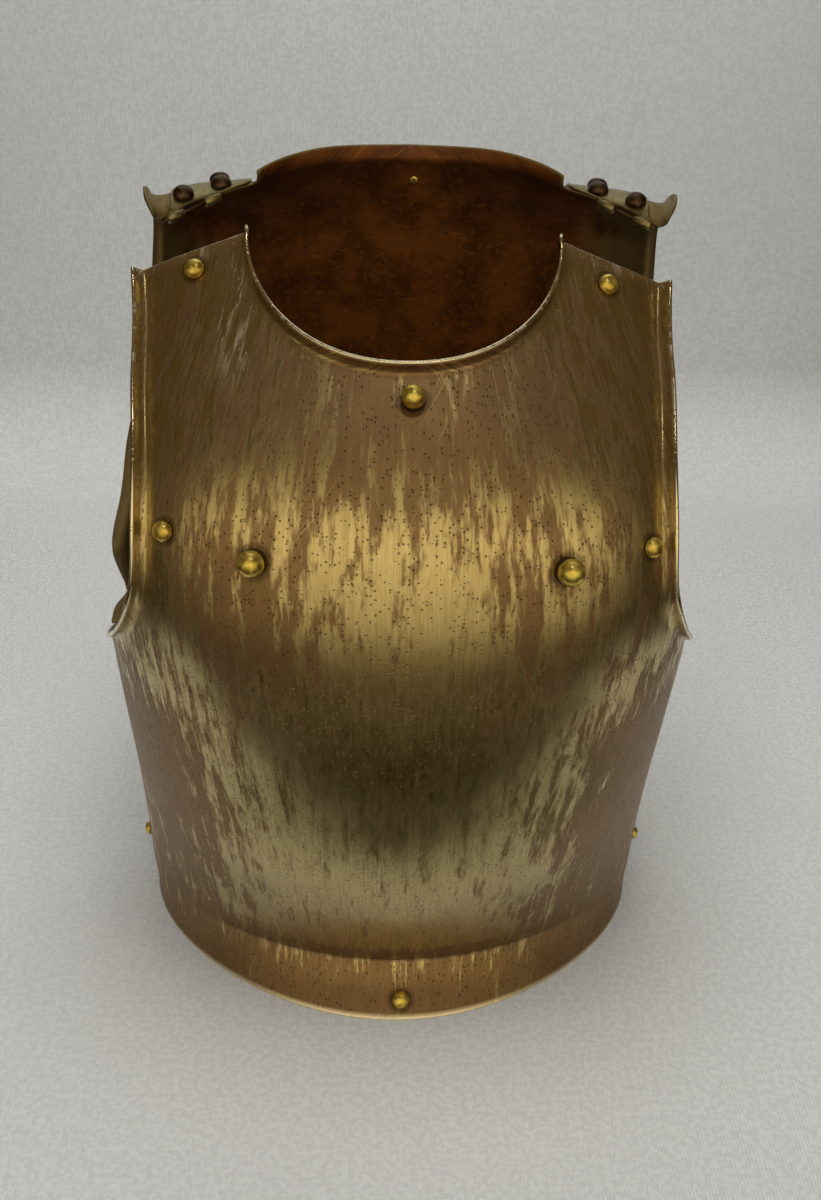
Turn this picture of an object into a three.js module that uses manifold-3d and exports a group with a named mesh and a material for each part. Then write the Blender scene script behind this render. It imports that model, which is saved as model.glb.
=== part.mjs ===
// A cavalry cuirass: breastplate, back plate, brass rivets and shoulder hinges.
// Millimetres, +Z up, the breastplate towards -Y, the waist edges on z = 0.
import * as THREE from "three";
import { mergeVertices } from "three/addons/utils/BufferGeometryUtils.js";
import Module from "manifold-3d";

// Driving dimensions
const FRONT_THICKNESS = 2.2;
const BACK_THICKNESS = 1.8;
const SEAM_GAP = 0.4;
const SEAM_Y = 20.7;
const CENTRE_X = 2.4;
const WAIST_Z = 26;
const UNDERARM_Z = 196;
const PLATE_TOP = 415;

// Horizontal sections of the breastplate: half width, depth from the side seams, fullness of the curve.
const FRONT_ROWS = [
  { z: 26, half_width: 165, depth: 124, fullness: -0.012 },
  { z: 60, half_width: 166.5, depth: 140.5, fullness: -0.009 },
  { z: 120, half_width: 170, depth: 166, fullness: 0.004 },
  { z: 180, half_width: 175, depth: 174.5, fullness: 0.022 },
  { z: 240, half_width: 178.5, depth: 178, fullness: 0.042 },
  { z: 300, half_width: 179.5, depth: 176, fullness: 0.054 },
  { z: 350, half_width: 175, depth: 160.5, fullness: 0.051 },
  { z: 390, half_width: 167.5, depth: 131, fullness: 0.035 },
  { z: 425, half_width: 158.5, depth: 92.5, fullness: 0.011 },
  { z: 462, half_width: 151, depth: 53, fullness: -0.008 },
];
const FRONT_WAIST = [
  { z: 0, half_width: 162.5, depth: 149.5, fullness: -0.017 },
  { z: 13, half_width: 163, depth: 134.5, fullness: -0.014 },
  { z: 26, half_width: 165, depth: 124, fullness: -0.012 },
];

// Horizontal sections of the back plate, up to where its shoulders start to roll forwards.
const BACK_ROWS = [
  { z: 26, half_width: 165, depth: 98, fullness: -0.01 },
  { z: 60, half_width: 166.5, depth: 104, fullness: 0 },
  { z: 120, half_width: 170, depth: 117, fullness: 0.01 },
  { z: 180, half_width: 175, depth: 130, fullness: 0.02 },
  { z: 240, half_width: 179, depth: 139, fullness: 0.03 },
  { z: 300, half_width: 182, depth: 142, fullness: 0.04 },
  { z: 350, half_width: 181, depth: 141.5, fullness: 0.05 },
  { z: 415, half_width: 180, depth: 138, fullness: 0.06 },
];
const BACK_WAIST = [
  { z: 0, half_width: 162.5, depth: 120, fullness: -0.01 },
  { z: 13, half_width: 163, depth: 106, fullness: -0.01 },
  { z: 26, half_width: 165, depth: 98, fullness: -0.01 },
];

// Where the back plate starts to roll forwards, and the roll's radius, across its width.
const ROLL_ROWS = [
  { x: 0, start: 415, radius: 200 },
  { x: 40, start: 415, radius: 105 },
  { x: 60, start: 415, radius: 74 },
  { x: 80, start: 415, radius: 56 },
  { x: 95, start: 416, radius: 47 },
  { x: 112, start: 422, radius: 37 },
  { x: 130, start: 424, radius: 34 },
  { x: 150, start: 424, radius: 32 },
  { x: 190, start: 424, radius: 31 },
];
const ROLL_START = 0.05;
const BACK_LEAN = 5.5;
const FRONT_LEAN = -1.8;
const RIGHT_SHOULDER_DROP = 4;

// Medial ridge of the breastplate
const RIDGE = { height: 4.5, spread: 45, low: 30, low_end: 95, high: 300, high_end: 375 };

// Neck and shoulders of the breastplate
const NECK = { tip_x: 86.5, tip_z: 461.5, base_z: 407.5, roundness: 2.22 };
const SHOULDER_CORNER = { angle: 64.5, up: 439 };
// Edge of the breastplate's armhole: height, angle round the body, and the flange's share of its full width.
const FRONT_ARMHOLE = [
  { up: 196, angle: 90, flange: 0.05 },
  { up: 208, angle: 84, flange: 0.15 },
  { up: 220, angle: 76.5, flange: 0.2 },
  { up: 232, angle: 68.5, flange: 0.35 },
  { up: 243, angle: 61.5, flange: 0.55 },
  { up: 253, angle: 56, flange: 0.8 },
  { up: 266, angle: 50, flange: 1 },
  { up: 292, angle: 44, flange: 1 },
  { up: 330, angle: 42.8, flange: 1 },
  { up: 370, angle: 46.5, flange: 1 },
  { up: 400, angle: 53.2, flange: 1 },
  { up: 439, angle: 64.5, flange: 1 },
];
const FRONT_ARMHOLE_STOPS = [207, 218, 230, 242, 254, 268, 286, 309, 336, 364, 390, 414, 439];

// Neck of the back plate: height up the plate at the centre and at the shoulder tips.
const BACK_NECK = { centre: 468.5, tip: 483, tip_x: 95 };
const BACK_SHOULDER = 496;
// Edge of the back plate's armhole: height up the plate, angle round the body on either side, the flange's
// share of its full width on either side, and how far it opens outwards. The left one is bent to a corner.
const BACK_ARMHOLE = [
  { up: 196, left: 90, right: 90, flange_left: 0.85, flange_right: 0.3, open: 1 },
  { up: 198.5, left: 84.5, right: 86.5, flange_left: 0.9, flange_right: 0.3, open: 1 },
  { up: 202, left: 79.2, right: 81.5, flange_left: 0.55, flange_right: 0.3, open: 1 },
  { up: 210, left: 78, right: 72.7, flange_left: 0.45, flange_right: 0.3, open: 1 },
  { up: 222, left: 79, right: 70, flange_left: 0.6, flange_right: 0.5, open: 1 },
  { up: 238, left: 80, right: 68.6, flange_left: 0.8, flange_right: 0.7, open: 1 },
  { up: 241, left: 79.8, right: 68.4, flange_left: 0.8, flange_right: 0.7, open: 1 },
  { up: 262, left: 71.5, right: 66.4, flange_left: 0.85, flange_right: 0.8, open: 1 },
  { up: 295, left: 64, right: 62.5, flange_left: 1, flange_right: 1, open: 1 },
  { up: 350, left: 54, right: 54, flange_left: 1, flange_right: 1, open: 1 },
  { up: 400, left: 51.5, right: 51.5, flange_left: 0.8, flange_right: 0.8, open: 1 },
  { up: 435, left: 50.5, right: 50.5, flange_left: 0.7, flange_right: 0.7, open: 1.3 },
  { up: 460, left: 49.8, right: 49.8, flange_left: 0.8, flange_right: 0.8, open: 2.2 },
  { up: 478, left: 49.2, right: 49.2, flange_left: 0.85, flange_right: 0.9, open: 3.2 },
  { up: 488, left: 48.9, right: 48.9, flange_left: 0.8, flange_right: 0.85, open: 3.4 },
  { up: 496, left: 48.7, right: 48.7, flange_left: 0.4, flange_right: 0.45, open: 3.4 },
];
const BACK_ARMHOLE_STOPS = [
  198.5, 202, 209, 223, 239.5, 250, 264, 284, 312, 342, 374, 403, 432, 458, 479, 496,
];

// Turned edges, as steps away from the plate's edge: across the surface and out from it.
const NECK_FLANGE = [
  { across: 1.6, out: 0.9 },
  { across: 3.1, out: 3.6 },
  { across: 3.6, out: 7.6 },
];
const ARM_FLANGE = [
  { across: 1.7, out: 1 },
  { across: 3.2, out: 4 },
  { across: 3.6, out: 8.2 },
];
const BACK_NECK_FLANGE = [
  { across: 2, out: 0.8 },
  { across: 4.6, out: 3.4 },
  { across: 6, out: 7 },
];

// Rivets: head radius and height, on the breastplate's border, its studs and the hinges.
const BORDER = { radius: 5.8, height: 5.2, sides: 9, ball: false };
const SMALL = { radius: 4.5, height: 3.6, sides: 8, ball: false };
const STUD = { radius: 7.3, height: 12.4, sides: 12, ball: true };
const NECK_STUD = { radius: 6.4, height: 11, sides: 12, ball: true };
const HINGE_DOME = { radius: 6.5, height: 5.4, sides: 9, ball: false };
const SHANK_RADIUS = 1.5;
const HOLE_RADIUS = 1.9;
const HOLE_LENGTH = 14;
const HOLE_SIDES = 8;
const BALL_DEGREES = [-36, -12, 18, 50];
const BALL_STEM = 0.5;
const DOME_DEGREES = [32, 62];
const DOME_FULLNESS = 0.8;
const TAIL = { radius: 2.9, height: 1.1 };
const SEAT = 0.3;
const WALL_RAYS = 8;
const RAY_HEIGHT = 7;

// Shoulder hinges: a leaf riveted to the back plate, with two knuckles round a pin.
const LEAF = { thickness: 1.6, inner_x: 99, outer_x: 145, depth: 33, front: 1.5 };
const KNUCKLE = { radius: 2.9, bore: 1.7, length: 11.5, pin: 1.2, sides: 9 };
const PIN_EXTRA = 4;
const PIN_SHIFT = 1;
const HINGE_LINE = { inner_x: 116, outer_x: 146, forward: 4.1, lift: 0.9 };
const LEAF_ROUND = { least: 0.55, swell: 0.45, margin: 0.06 };
const SHOULDER_END_X = 150;
const LEAF_CLEARANCE = 0.45;
const LEAF_REACH = 2.5;
const LEAF_SPARE = 0.2;

const STEEL = { color: 0x6e6040, roughness: 0.42, metalness: 0.9 };
const BACK_STEEL = { color: 0x5a4028, roughness: 0.6, metalness: 0.7 };
const BRASS = { color: 0xa89038, roughness: 0.35, metalness: 1 };
const OLD_BRASS = { color: 0x8f8258, roughness: 0.45, metalness: 0.9 };
const DARK_IRON = { color: 0x4a3a2a, roughness: 0.5, metalness: 0.8 };

const wasm = await Module();
wasm.setup();

// A smooth curve through one column of a table, read at one place along its key column.
function smoothColumn(rows, key, column, place) {
  const last = rows.length - 2;
  let i = 0;
  while (i < last && place > rows[i + 1][key]) i += 1;
  const step = (k) => rows[k + 1][key] - rows[k][key];
  const rise = (k) => (rows[k + 1][column] - rows[k][column]) / step(k);
  const slope = (k) => {
    if (k <= 0) return rise(0);
    if (k > last) return rise(last);
    return (rise(k - 1) * step(k) + rise(k) * step(k - 1)) / (step(k) + step(k - 1));
  };
  const width = step(i);
  const t = THREE.MathUtils.clamp((place - rows[i][key]) / width, 0, 1);
  const t2 = t * t;
  const t3 = t2 * t;
  return (
    (2 * t3 - 3 * t2 + 1) * rows[i][column] +
    (t3 - 2 * t2 + t) * width * slope(i) +
    (3 * t2 - 2 * t3) * rows[i + 1][column] +
    (t3 - t2) * width * slope(i + 1)
  );
}

// One point of a horizontal section: angle 0 is the middle of the plate, 90 degrees its right seam.
function sectionPoint(rows, angle, z) {
  const width = smoothColumn(rows, "z", "half_width", z);
  const depth = smoothColumn(rows, "z", "depth", z);
  const full = smoothColumn(rows, "z", "fullness", z);
  return {
    x: (width * (Math.sin(angle) + full * Math.sin(3 * angle))) / (1 - full),
    y: (depth * (Math.cos(angle) - full * Math.cos(3 * angle))) / (1 - full),
  };
}

function ridgeHeight(x, z) {
  const up = THREE.MathUtils.smoothstep(z, RIDGE.low, RIDGE.low_end);
  const down = 1 - THREE.MathUtils.smoothstep(z, RIDGE.high, RIDGE.high_end);
  return RIDGE.height * up * down * Math.exp(-Math.abs(x) / RIDGE.spread);
}

function frontPoint(angle, z) {
  const rows = z < WAIST_Z ? FRONT_WAIST : FRONT_ROWS;
  const p = sectionPoint(rows, angle, z);
  const point = new THREE.Vector3(p.x, -p.y - ridgeHeight(p.x, z), z);
  const lean = THREE.MathUtils.clamp((z - 200) / 260, 0, 1);
  point.x += FRONT_LEAN * lean * lean;
  point.z -= RIGHT_SHOULDER_DROP * lean * lean * THREE.MathUtils.smoothstep(p.x, 20, 140);
  return point;
}

// Above the roll's start each line up the back plate goes on as an arc that rolls forwards.
function backPoint(angle, up) {
  const p = sectionPoint(up < WAIST_Z ? BACK_WAIST : BACK_ROWS, angle, Math.min(up, PLATE_TOP));
  const start = smoothColumn(ROLL_ROWS, "x", "start", Math.abs(p.x));
  const point = new THREE.Vector3(p.x, p.y, Math.min(up, start));
  if (up > start) {
    const radius = smoothColumn(ROLL_ROWS, "x", "radius", Math.abs(p.x));
    const turn = ROLL_START + (up - start) / radius;
    point.y -= radius * (Math.cos(ROLL_START) - Math.cos(turn));
    point.z += radius * (Math.sin(turn) - Math.sin(ROLL_START));
  }
  const lean = THREE.MathUtils.clamp((point.z - 200) / 260, 0, 1);
  point.x += BACK_LEAN * lean * lean;
  return point;
}

// The angle at which a section reaches a given distance from the middle.
function angleAt(rows, x, z) {
  let low = 0;
  let high = Math.PI / 2;
  for (let n = 0; n < 40; n += 1) {
    const middle = (low + high) / 2;
    if (sectionPoint(rows, middle, z).x < Math.abs(x)) low = middle;
    else high = middle;
  }
  return (Math.sign(x) * (low + high)) / 2;
}

const steps = (count) => Array.from({ length: count + 1 }, (_, k) => k / count);

const radians = THREE.MathUtils.degToRad;
const mixPlaces = (a, b, t) => ({
  angle: THREE.MathUtils.lerp(a.angle, b.angle, t),
  up: THREE.MathUtils.lerp(a.up, b.up, t),
});

const SEAM = steps(8).map((t) => ({ angle: Math.PI / 2, up: THREE.MathUtils.lerp(WAIST_Z, UNDERARM_Z, t) }));
const NECK_STEPS = 8;
const SHOULDER_STEPS = 3;

// The edges of a plate's half, as lists of angle and height: its top from the middle outwards, its side
// from the waist upwards.
function frontEdges() {
  const neck = steps(NECK_STEPS).map((t) => {
    const s = Math.sin((t * Math.PI) / 2) ** (2 / NECK.roundness);
    const c = Math.cos((t * Math.PI) / 2) ** (2 / NECK.roundness);
    const up = NECK.tip_z - (NECK.tip_z - NECK.base_z) * c;
    return { angle: angleAt(FRONT_ROWS, NECK.tip_x * s, up), up };
  });
  const corner = { angle: radians(SHOULDER_CORNER.angle), up: SHOULDER_CORNER.up };
  const shoulder = steps(SHOULDER_STEPS).slice(1).map((t) => mixPlaces(neck.at(-1), corner, t));
  const armhole = FRONT_ARMHOLE_STOPS.map((up) => ({
    angle: radians(smoothColumn(FRONT_ARMHOLE, "up", "angle", up)),
    up,
  }));
  const side = [...SEAM, ...armhole];
  return { top: [...neck, ...shoulder], left: side, right: side };
}

function backEdges() {
  const tip = { angle: angleAt(BACK_ROWS, BACK_NECK.tip_x, PLATE_TOP), up: BACK_NECK.tip };
  const corner = { angle: radians(BACK_ARMHOLE.at(-1).left), up: BACK_SHOULDER };
  const neck = steps(NECK_STEPS).map((t) => ({
    angle: tip.angle * t,
    up: THREE.MathUtils.lerp(BACK_NECK.centre, BACK_NECK.tip, t * t),
  }));
  const shoulder = steps(SHOULDER_STEPS).slice(1).map((t) => mixPlaces(tip, corner, t));
  const side = (hand) => [
    ...SEAM,
    ...BACK_ARMHOLE_STOPS.map((up) => ({ angle: radians(smoothColumn(BACK_ARMHOLE, "up", hand, up)), up })),
  ];
  return { top: [...neck, ...shoulder], left: side("left"), right: side("right") };
}

// A grid of places between four edges: straight blends first, then evened out so that no line crosses.
const ROUND_SCALE = 165;
const EVENING_PASSES = 260;

function placeGrid(edges) {
  const columns = edges.top.length - 1;
  const rows = edges.right.length - 1;
  const grid = [];
  for (let r = 0; r <= rows; r += 1) {
    const line = [];
    for (let c = -columns; c <= columns; c += 1) {
      const side = (c < 0 ? edges.left : edges.right)[r];
      const top = edges.top[Math.abs(c)];
      const u = c / columns;
      const edge = Math.abs(c) === columns;
      const share = (side.up - WAIST_Z) / (edges.right[rows].up - WAIST_Z);
      const x = edge ? Math.sign(c) * side.angle : Math.sign(c) * THREE.MathUtils.lerp(
        (Math.abs(u) * Math.PI) / 2, top.angle, share);
      const y = edge ? side.up : THREE.MathUtils.lerp(WAIST_Z, top.up, share);
      line.push([x * ROUND_SCALE, y]);
    }
    grid.push(line);
  }
  for (let pass = 0; pass < EVENING_PASSES; pass += 1) {
    for (let r = 1; r < rows; r += 1) {
      for (let c = 1; c < columns * 2; c += 1) evenOut(grid, r, c, c === columns);
    }
  }
  return grid.map((line) => line.map(([x, y]) => ({ angle: x / ROUND_SCALE, up: y })));
}

// One step of elliptic grid smoothing at one place. The middle line only moves up or down.
function evenOut(grid, r, c, middle) {
  const [e, w, n, s] = [grid[r][c + 1], grid[r][c - 1], grid[r + 1][c], grid[r - 1][c]];
  const du = [0, 1].map((k) => (e[k] - w[k]) / 2);
  const dv = [0, 1].map((k) => (n[k] - s[k]) / 2);
  const a = dv[0] * dv[0] + dv[1] * dv[1];
  const b = du[0] * dv[0] + du[1] * dv[1];
  const g = du[0] * du[0] + du[1] * du[1];
  for (const k of [0, 1]) {
    const above = grid[r + 1][c + 1][k] - grid[r + 1][c - 1][k];
    const below = grid[r - 1][c + 1][k] - grid[r - 1][c - 1][k];
    const cross = (above - below) / 4;
    grid[r][c][k] = (a * (e[k] + w[k]) + g * (n[k] + s[k]) - 2 * b * cross) / (2 * (a + g));
  }
  if (middle) grid[r][c][0] = 0;
}

// The middle surface of a plate: a body between its edges, then the turned edges round it.
class Sheet {
  constructor() {
    this.points = [];
    this.quads = [];
  }

  add(point) {
    this.points.push(point);
    return this.points.length - 1;
  }

  // Quads between two rows of the same length.
  join(low, high) {
    for (let k = 0; k + 1 < low.length; k += 1) {
      this.quads.push([low[k], low[k + 1], high[k + 1], high[k]]);
    }
  }

  normals() {
    const sums = this.points.map(() => new THREE.Vector3());
    for (const [a, b, c, d] of this.quads) {
      const p = this.points;
      const across = new THREE.Vector3().subVectors(p[c], p[a]);
      const other = new THREE.Vector3().subVectors(p[d], p[b]);
      const normal = across.cross(other);
      for (const k of [a, b, c, d]) sums[k].add(normal);
    }
    return sums.map((n) => n.normalize());
  }

  // A closed solid of even thickness round the sheet; points of floorIds are brought back to z = 0.
  thicken(thickness, floorIds) {
    const normals = this.normals();
    const vertices = [];
    const floor = new Map(floorIds.map((f) => [f.id, f.down]));
    for (const side of [0.5, -0.5]) {
      this.points.forEach((point, id) => {
        const moved = point.clone().addScaledVector(normals[id], side * thickness);
        if (floor.has(id)) {
          const down = floor.get(id);
          moved.addScaledVector(down, -moved.z / down.z);
          moved.z = 0;
        }
        vertices.push(moved.x, moved.y, moved.z);
      });
    }
    const count = this.points.length;
    const triangles = [];
    const edges = new Map();
    for (const quad of this.quads) {
      const [a, b, c, d] = quad;
      const p = this.points;
      const short = p[a].distanceTo(p[c]) < p[b].distanceTo(p[d]);
      const halves = short ? [[a, b, c], [a, c, d]] : [[a, b, d], [b, c, d]];
      for (const [i, j, k] of halves) {
        triangles.push(i, j, k);
        triangles.push(count + i, count + k, count + j);
      }
      for (let n = 0; n < 4; n += 1) {
        const from = quad[n];
        const to = quad[(n + 1) % 4];
        if (edges.has(`${to}_${from}`)) edges.delete(`${to}_${from}`);
        else edges.set(`${from}_${to}`, [from, to]);
      }
    }
    for (const [from, to] of edges.values()) {
      triangles.push(to, from, count + from);
      triangles.push(to, count + from, count + to);
    }
    return geometryOf(vertices, triangles);
  }
}

function geometryOf(vertices, triangles) {
  const geometry = new THREE.BufferGeometry();
  geometry.setAttribute("position", new THREE.Float32BufferAttribute(vertices, 3));
  geometry.setIndex(triangles);
  return geometry;
}

// Steps of a turned edge from one row of points. turn is +1 or -1, by the way round the plate's edge.
function addFlange(sheet, ids, profile, turn, normals, share) {
  const rows = profile.map(() => []);
  ids.forEach((id, k) => {
    const before = sheet.points[ids[Math.max(k - 1, 0)]];
    const after = sheet.points[ids[Math.min(k + 1, ids.length - 1)]];
    const along = new THREE.Vector3().subVectors(after, before).normalize();
    const across = new THREE.Vector3().crossVectors(along, normals[id]).multiplyScalar(turn).normalize();
    const out = normals[id].clone();
    const { width, open, atSeam } = share(k);
    if (atSeam) {
      across.setY(0).normalize();
      out.setY(0).normalize();
    }
    profile.forEach((step, n) => {
      const point = sheet.points[id].clone();
      point.addScaledVector(across, step.across * width * open);
      point.addScaledVector(out, step.out * width);
      rows[n].push(sheet.add(point));
    });
  });
  return rows;
}

// Builds one plate from its surface, its edges and its turned edges. facing is 1 when the surface's own
// left-to-right and upward directions already make an outward normal.
function makePlate(plate) {
  const { surface, edges, facing, thickness, seam } = plate;
  const sheet = new Sheet();
  const columns = edges.top.length - 1;
  const rows = edges.right.length - 1;
  const lines = placeGrid(edges).map((line) => line.map((p) => sheet.add(surface(p.angle, p.up))));
  const waist = [WAIST_Z / 2, 0].map((z) =>
    steps(columns * 2).map((u) => sheet.add(surface((u - 0.5) * Math.PI, z))),
  );
  const joinRows = (a, b) => (facing > 0 ? sheet.join(a, b) : sheet.join(b, a));
  for (let r = 0; r < rows; r += 1) joinRows(lines[r], lines[r + 1]);
  joinRows(waist[0], lines[0]);
  joinRows(waist[1], waist[0]);

  const normals = sheet.normals();
  const neckIds = lines[rows].slice(columns - NECK_STEPS, columns + NECK_STEPS + 1);
  const whole = () => ({ width: 1, open: 1 });
  const neckRows = addFlange(sheet, neckIds, plate.neckFlange, -facing, normals, whole);
  [neckIds, ...neckRows].reduce((low, high) => {
    joinRows(low, high);
    return high;
  });
  for (const hand of [-1, 1]) {
    const edge = lines.slice(SEAM.length - 1).map((line) => line[hand > 0 ? columns * 2 : 0]);
    const share = (k) => ({ ...plate.armShare(hand, edges.right[SEAM.length - 1 + k].up), atSeam: k === 0 });
    const armRows = addFlange(sheet, edge, ARM_FLANGE, hand * facing, normals, share);
    [edge, ...armRows].reduce((inner, outer) => {
      if (hand * facing > 0) sheet.join(outer, inner);
      else sheet.join(inner, outer);
      return outer;
    });
  }
  // The seam edges stand back by half the gap between the plates.
  sheet.points.forEach((point) => {
    point.y += seam;
  });
  const floorIds = waist[1].map((id, k) => ({
    id,
    down: new THREE.Vector3().subVectors(sheet.points[id], sheet.points[waist[0][k]]).normalize(),
  }));
  const geometry = sheet.thicken(thickness, floorIds);
  // Nothing of the plate crosses its own side of the seam.
  const places = geometry.getAttribute("position");
  for (let k = 0; k < places.count; k += 1) {
    const y = places.getY(k);
    places.setY(k, seam > 0 ? Math.max(y, seam) : Math.min(y, seam));
  }
  return geometry;
}

function solidOf(geometry) {
  const plain = new THREE.BufferGeometry();
  plain.setAttribute("position", geometry.getAttribute("position"));
  if (geometry.index) plain.setIndex(geometry.index);
  const merged = mergeVertices(plain, 1e-4);
  const vertProperties = new Float32Array(merged.attributes.position.array);
  const triVerts = new Uint32Array(merged.index.array);
  return new wasm.Manifold(new wasm.Mesh({ numProp: 3, vertProperties, triVerts }));
}

function geometryOfSolid(solid) {
  const mesh = solid.getMesh();
  return geometryOf(Array.from(mesh.vertProperties), Array.from(mesh.triVerts));
}

// Outward direction of a surface at one place, by small steps along it.
function outward(surface, angle, up, facing) {
  const e = 0.004;
  const along = new THREE.Vector3().subVectors(surface(angle + e, up), surface(angle - e, up));
  const rise = new THREE.Vector3().subVectors(surface(angle, up + 0.5), surface(angle, up - 0.5));
  return along.cross(rise).multiplyScalar(facing).normalize();
}

// How high the outer and inner faces of a wall stand along a rivet's axis, over the width of its head.
function wallHeights(mesh, point, normal, reach) {
  const sideways = new THREE.Vector3().crossVectors(normal, new THREE.Vector3(0, 0, 1)).normalize();
  const upwards = new THREE.Vector3().crossVectors(normal, sideways);
  const ray = new THREE.Raycaster();
  let outer = -Infinity;
  let inner = Infinity;
  for (let n = 0; n <= WALL_RAYS; n += 1) {
    const a = (2 * Math.PI * n) / WALL_RAYS;
    const r = n === WALL_RAYS ? 0 : reach;
    const start = point.clone().addScaledVector(normal, RAY_HEIGHT);
    start.addScaledVector(sideways, r * Math.cos(a)).addScaledVector(upwards, r * Math.sin(a));
    ray.set(start, normal.clone().negate());
    const heights = ray.intersectObject(mesh).map((hit) => RAY_HEIGHT - hit.distance);
    const hits = heights.filter((h) => h > -RAY_HEIGHT);
    if (hits.length) {
      outer = Math.max(outer, ...hits);
      inner = Math.min(inner, ...hits);
    }
  }
  return { outer, inner };
}

// A rivet about its own axis: domed or ball head, shank through the wall, small clenched tail.
function rivetGeometry(head, wall) {
  const profile = [
    [0, wall.inner - SEAT - TAIL.height],
    [TAIL.radius, wall.inner - SEAT],
    [SHANK_RADIUS, wall.inner - SEAT],
  ];
  const base = wall.outer + SEAT;
  profile.push([SHANK_RADIUS, base]);
  if (head.ball) {
    profile.push([head.radius * BALL_STEM, base]);
    const centre = base + head.height - head.radius;
    for (const degrees of BALL_DEGREES) {
      const a = THREE.MathUtils.degToRad(degrees);
      profile.push([head.radius * Math.cos(a), centre + head.radius * Math.sin(a)]);
    }
  } else {
    profile.push([head.radius, base]);
    for (const degrees of DOME_DEGREES) {
      const a = THREE.MathUtils.degToRad(degrees);
      profile.push([head.radius * Math.cos(a) ** DOME_FULLNESS, base + head.height * Math.sin(a)]);
    }
  }
  profile.push([0, base + head.height]);
  const points = profile.map(([r, y]) => new THREE.Vector2(r, y));
  return new THREE.LatheGeometry(points, head.sides);
}

const FRONT = {
  surface: frontPoint,
  edges: frontEdges(),
  facing: 1,
  thickness: FRONT_THICKNESS,
  neckFlange: NECK_FLANGE,
  armShare: (hand, up) => ({ width: smoothColumn(FRONT_ARMHOLE, "up", "flange", up), open: 1 }),
  seam: -SEAM_GAP / 2,
};
const BACK = {
  surface: backPoint,
  edges: backEdges(),
  facing: -1,
  thickness: BACK_THICKNESS,
  neckFlange: BACK_NECK_FLANGE,
  armShare: (hand, up) => ({
    width: smoothColumn(BACK_ARMHOLE, "up", hand > 0 ? "flange_right" : "flange_left", up),
    open: smoothColumn(BACK_ARMHOLE, "up", "open", up),
  }),
  seam: SEAM_GAP / 2,
};

const onFront = (x, z) => ({ plate: FRONT, angle: angleAt(FRONT_ROWS, x, z), up: z });
const byAngle = (plate, degrees, up) => ({ plate, angle: THREE.MathUtils.degToRad(degrees), up });
const SIDE_ANGLE = 86.6;
const UNDERARM_ANGLE = 85;
const LOW_SIDE_ANGLE = 84;

const RIVETS = [
  { name: "neck_stud", head: NECK_STUD, ...onFront(3.2, 397.6) },
  { name: "shoulder_rivet_l", head: BORDER, ...onFront(-112.5, 443.7) },
  { name: "shoulder_rivet_r", head: BORDER, ...onFront(110.5, 442) },
  { name: "armhole_rivet_l", head: BORDER, ...onFront(-125.5, 332.5) },
  { name: "armhole_rivet_r", head: BORDER, ...onFront(129.3, 326) },
  { name: "chest_stud_l", head: STUD, ...onFront(-78.5, 325) },
  { name: "chest_stud_r", head: STUD, ...onFront(82.6, 322) },
  { name: "underarm_rivet_l", head: SMALL, ...byAngle(FRONT, -UNDERARM_ANGLE, 191.5) },
  { name: "underarm_rivet_r", head: SMALL, ...byAngle(FRONT, UNDERARM_ANGLE, 191.5) },
  { name: "side_rivet_l", head: SMALL, ...byAngle(FRONT, -LOW_SIDE_ANGLE, 46) },
  { name: "side_rivet_r", head: SMALL, ...byAngle(FRONT, LOW_SIDE_ANGLE, 42) },
  { name: "waist_rivet", head: BORDER, ...byAngle(FRONT, 1, 7.5) },
  { name: "back_neck_rivet", head: BORDER, ...byAngle(BACK, 1, 455) },
  { name: "back_armhole_rivet_l", head: BORDER, ...byAngle(BACK, -52, 320) },
  { name: "back_armhole_rivet_r", head: BORDER, ...byAngle(BACK, 52, 320) },
  { name: "back_underarm_rivet_l", head: SMALL, ...byAngle(BACK, -SIDE_ANGLE, 184) },
  { name: "back_underarm_rivet_r", head: SMALL, ...byAngle(BACK, SIDE_ANGLE, 184) },
  { name: "back_side_rivet_l", head: SMALL, ...byAngle(BACK, -SIDE_ANGLE, 40) },
  { name: "back_side_rivet_r", head: SMALL, ...byAngle(BACK, SIDE_ANGLE, 40) },
  { name: "back_waist_rivet", head: BORDER, ...byAngle(BACK, 0.5, 9) },
];

// Shoulder hinges
const alongShoulder = (x) => {
  const angle = angleAt(BACK_ROWS, x, PLATE_TOP);
  const share = (Math.abs(x) - BACK_NECK.tip_x) / (SHOULDER_END_X - BACK_NECK.tip_x);
  return { angle, edge: THREE.MathUtils.lerp(BACK_NECK.tip, BACK_SHOULDER, share) };
};

function backFace(x, fromEdge, height) {
  const { angle, edge } = alongShoulder(x);
  const point = backPoint(angle, edge + fromEdge);
  const normal = outward(backPoint, angle, edge + fromEdge, BACK.facing);
  point.y += BACK.seam;
  return { point: point.addScaledVector(normal, height), normal };
}

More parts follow.
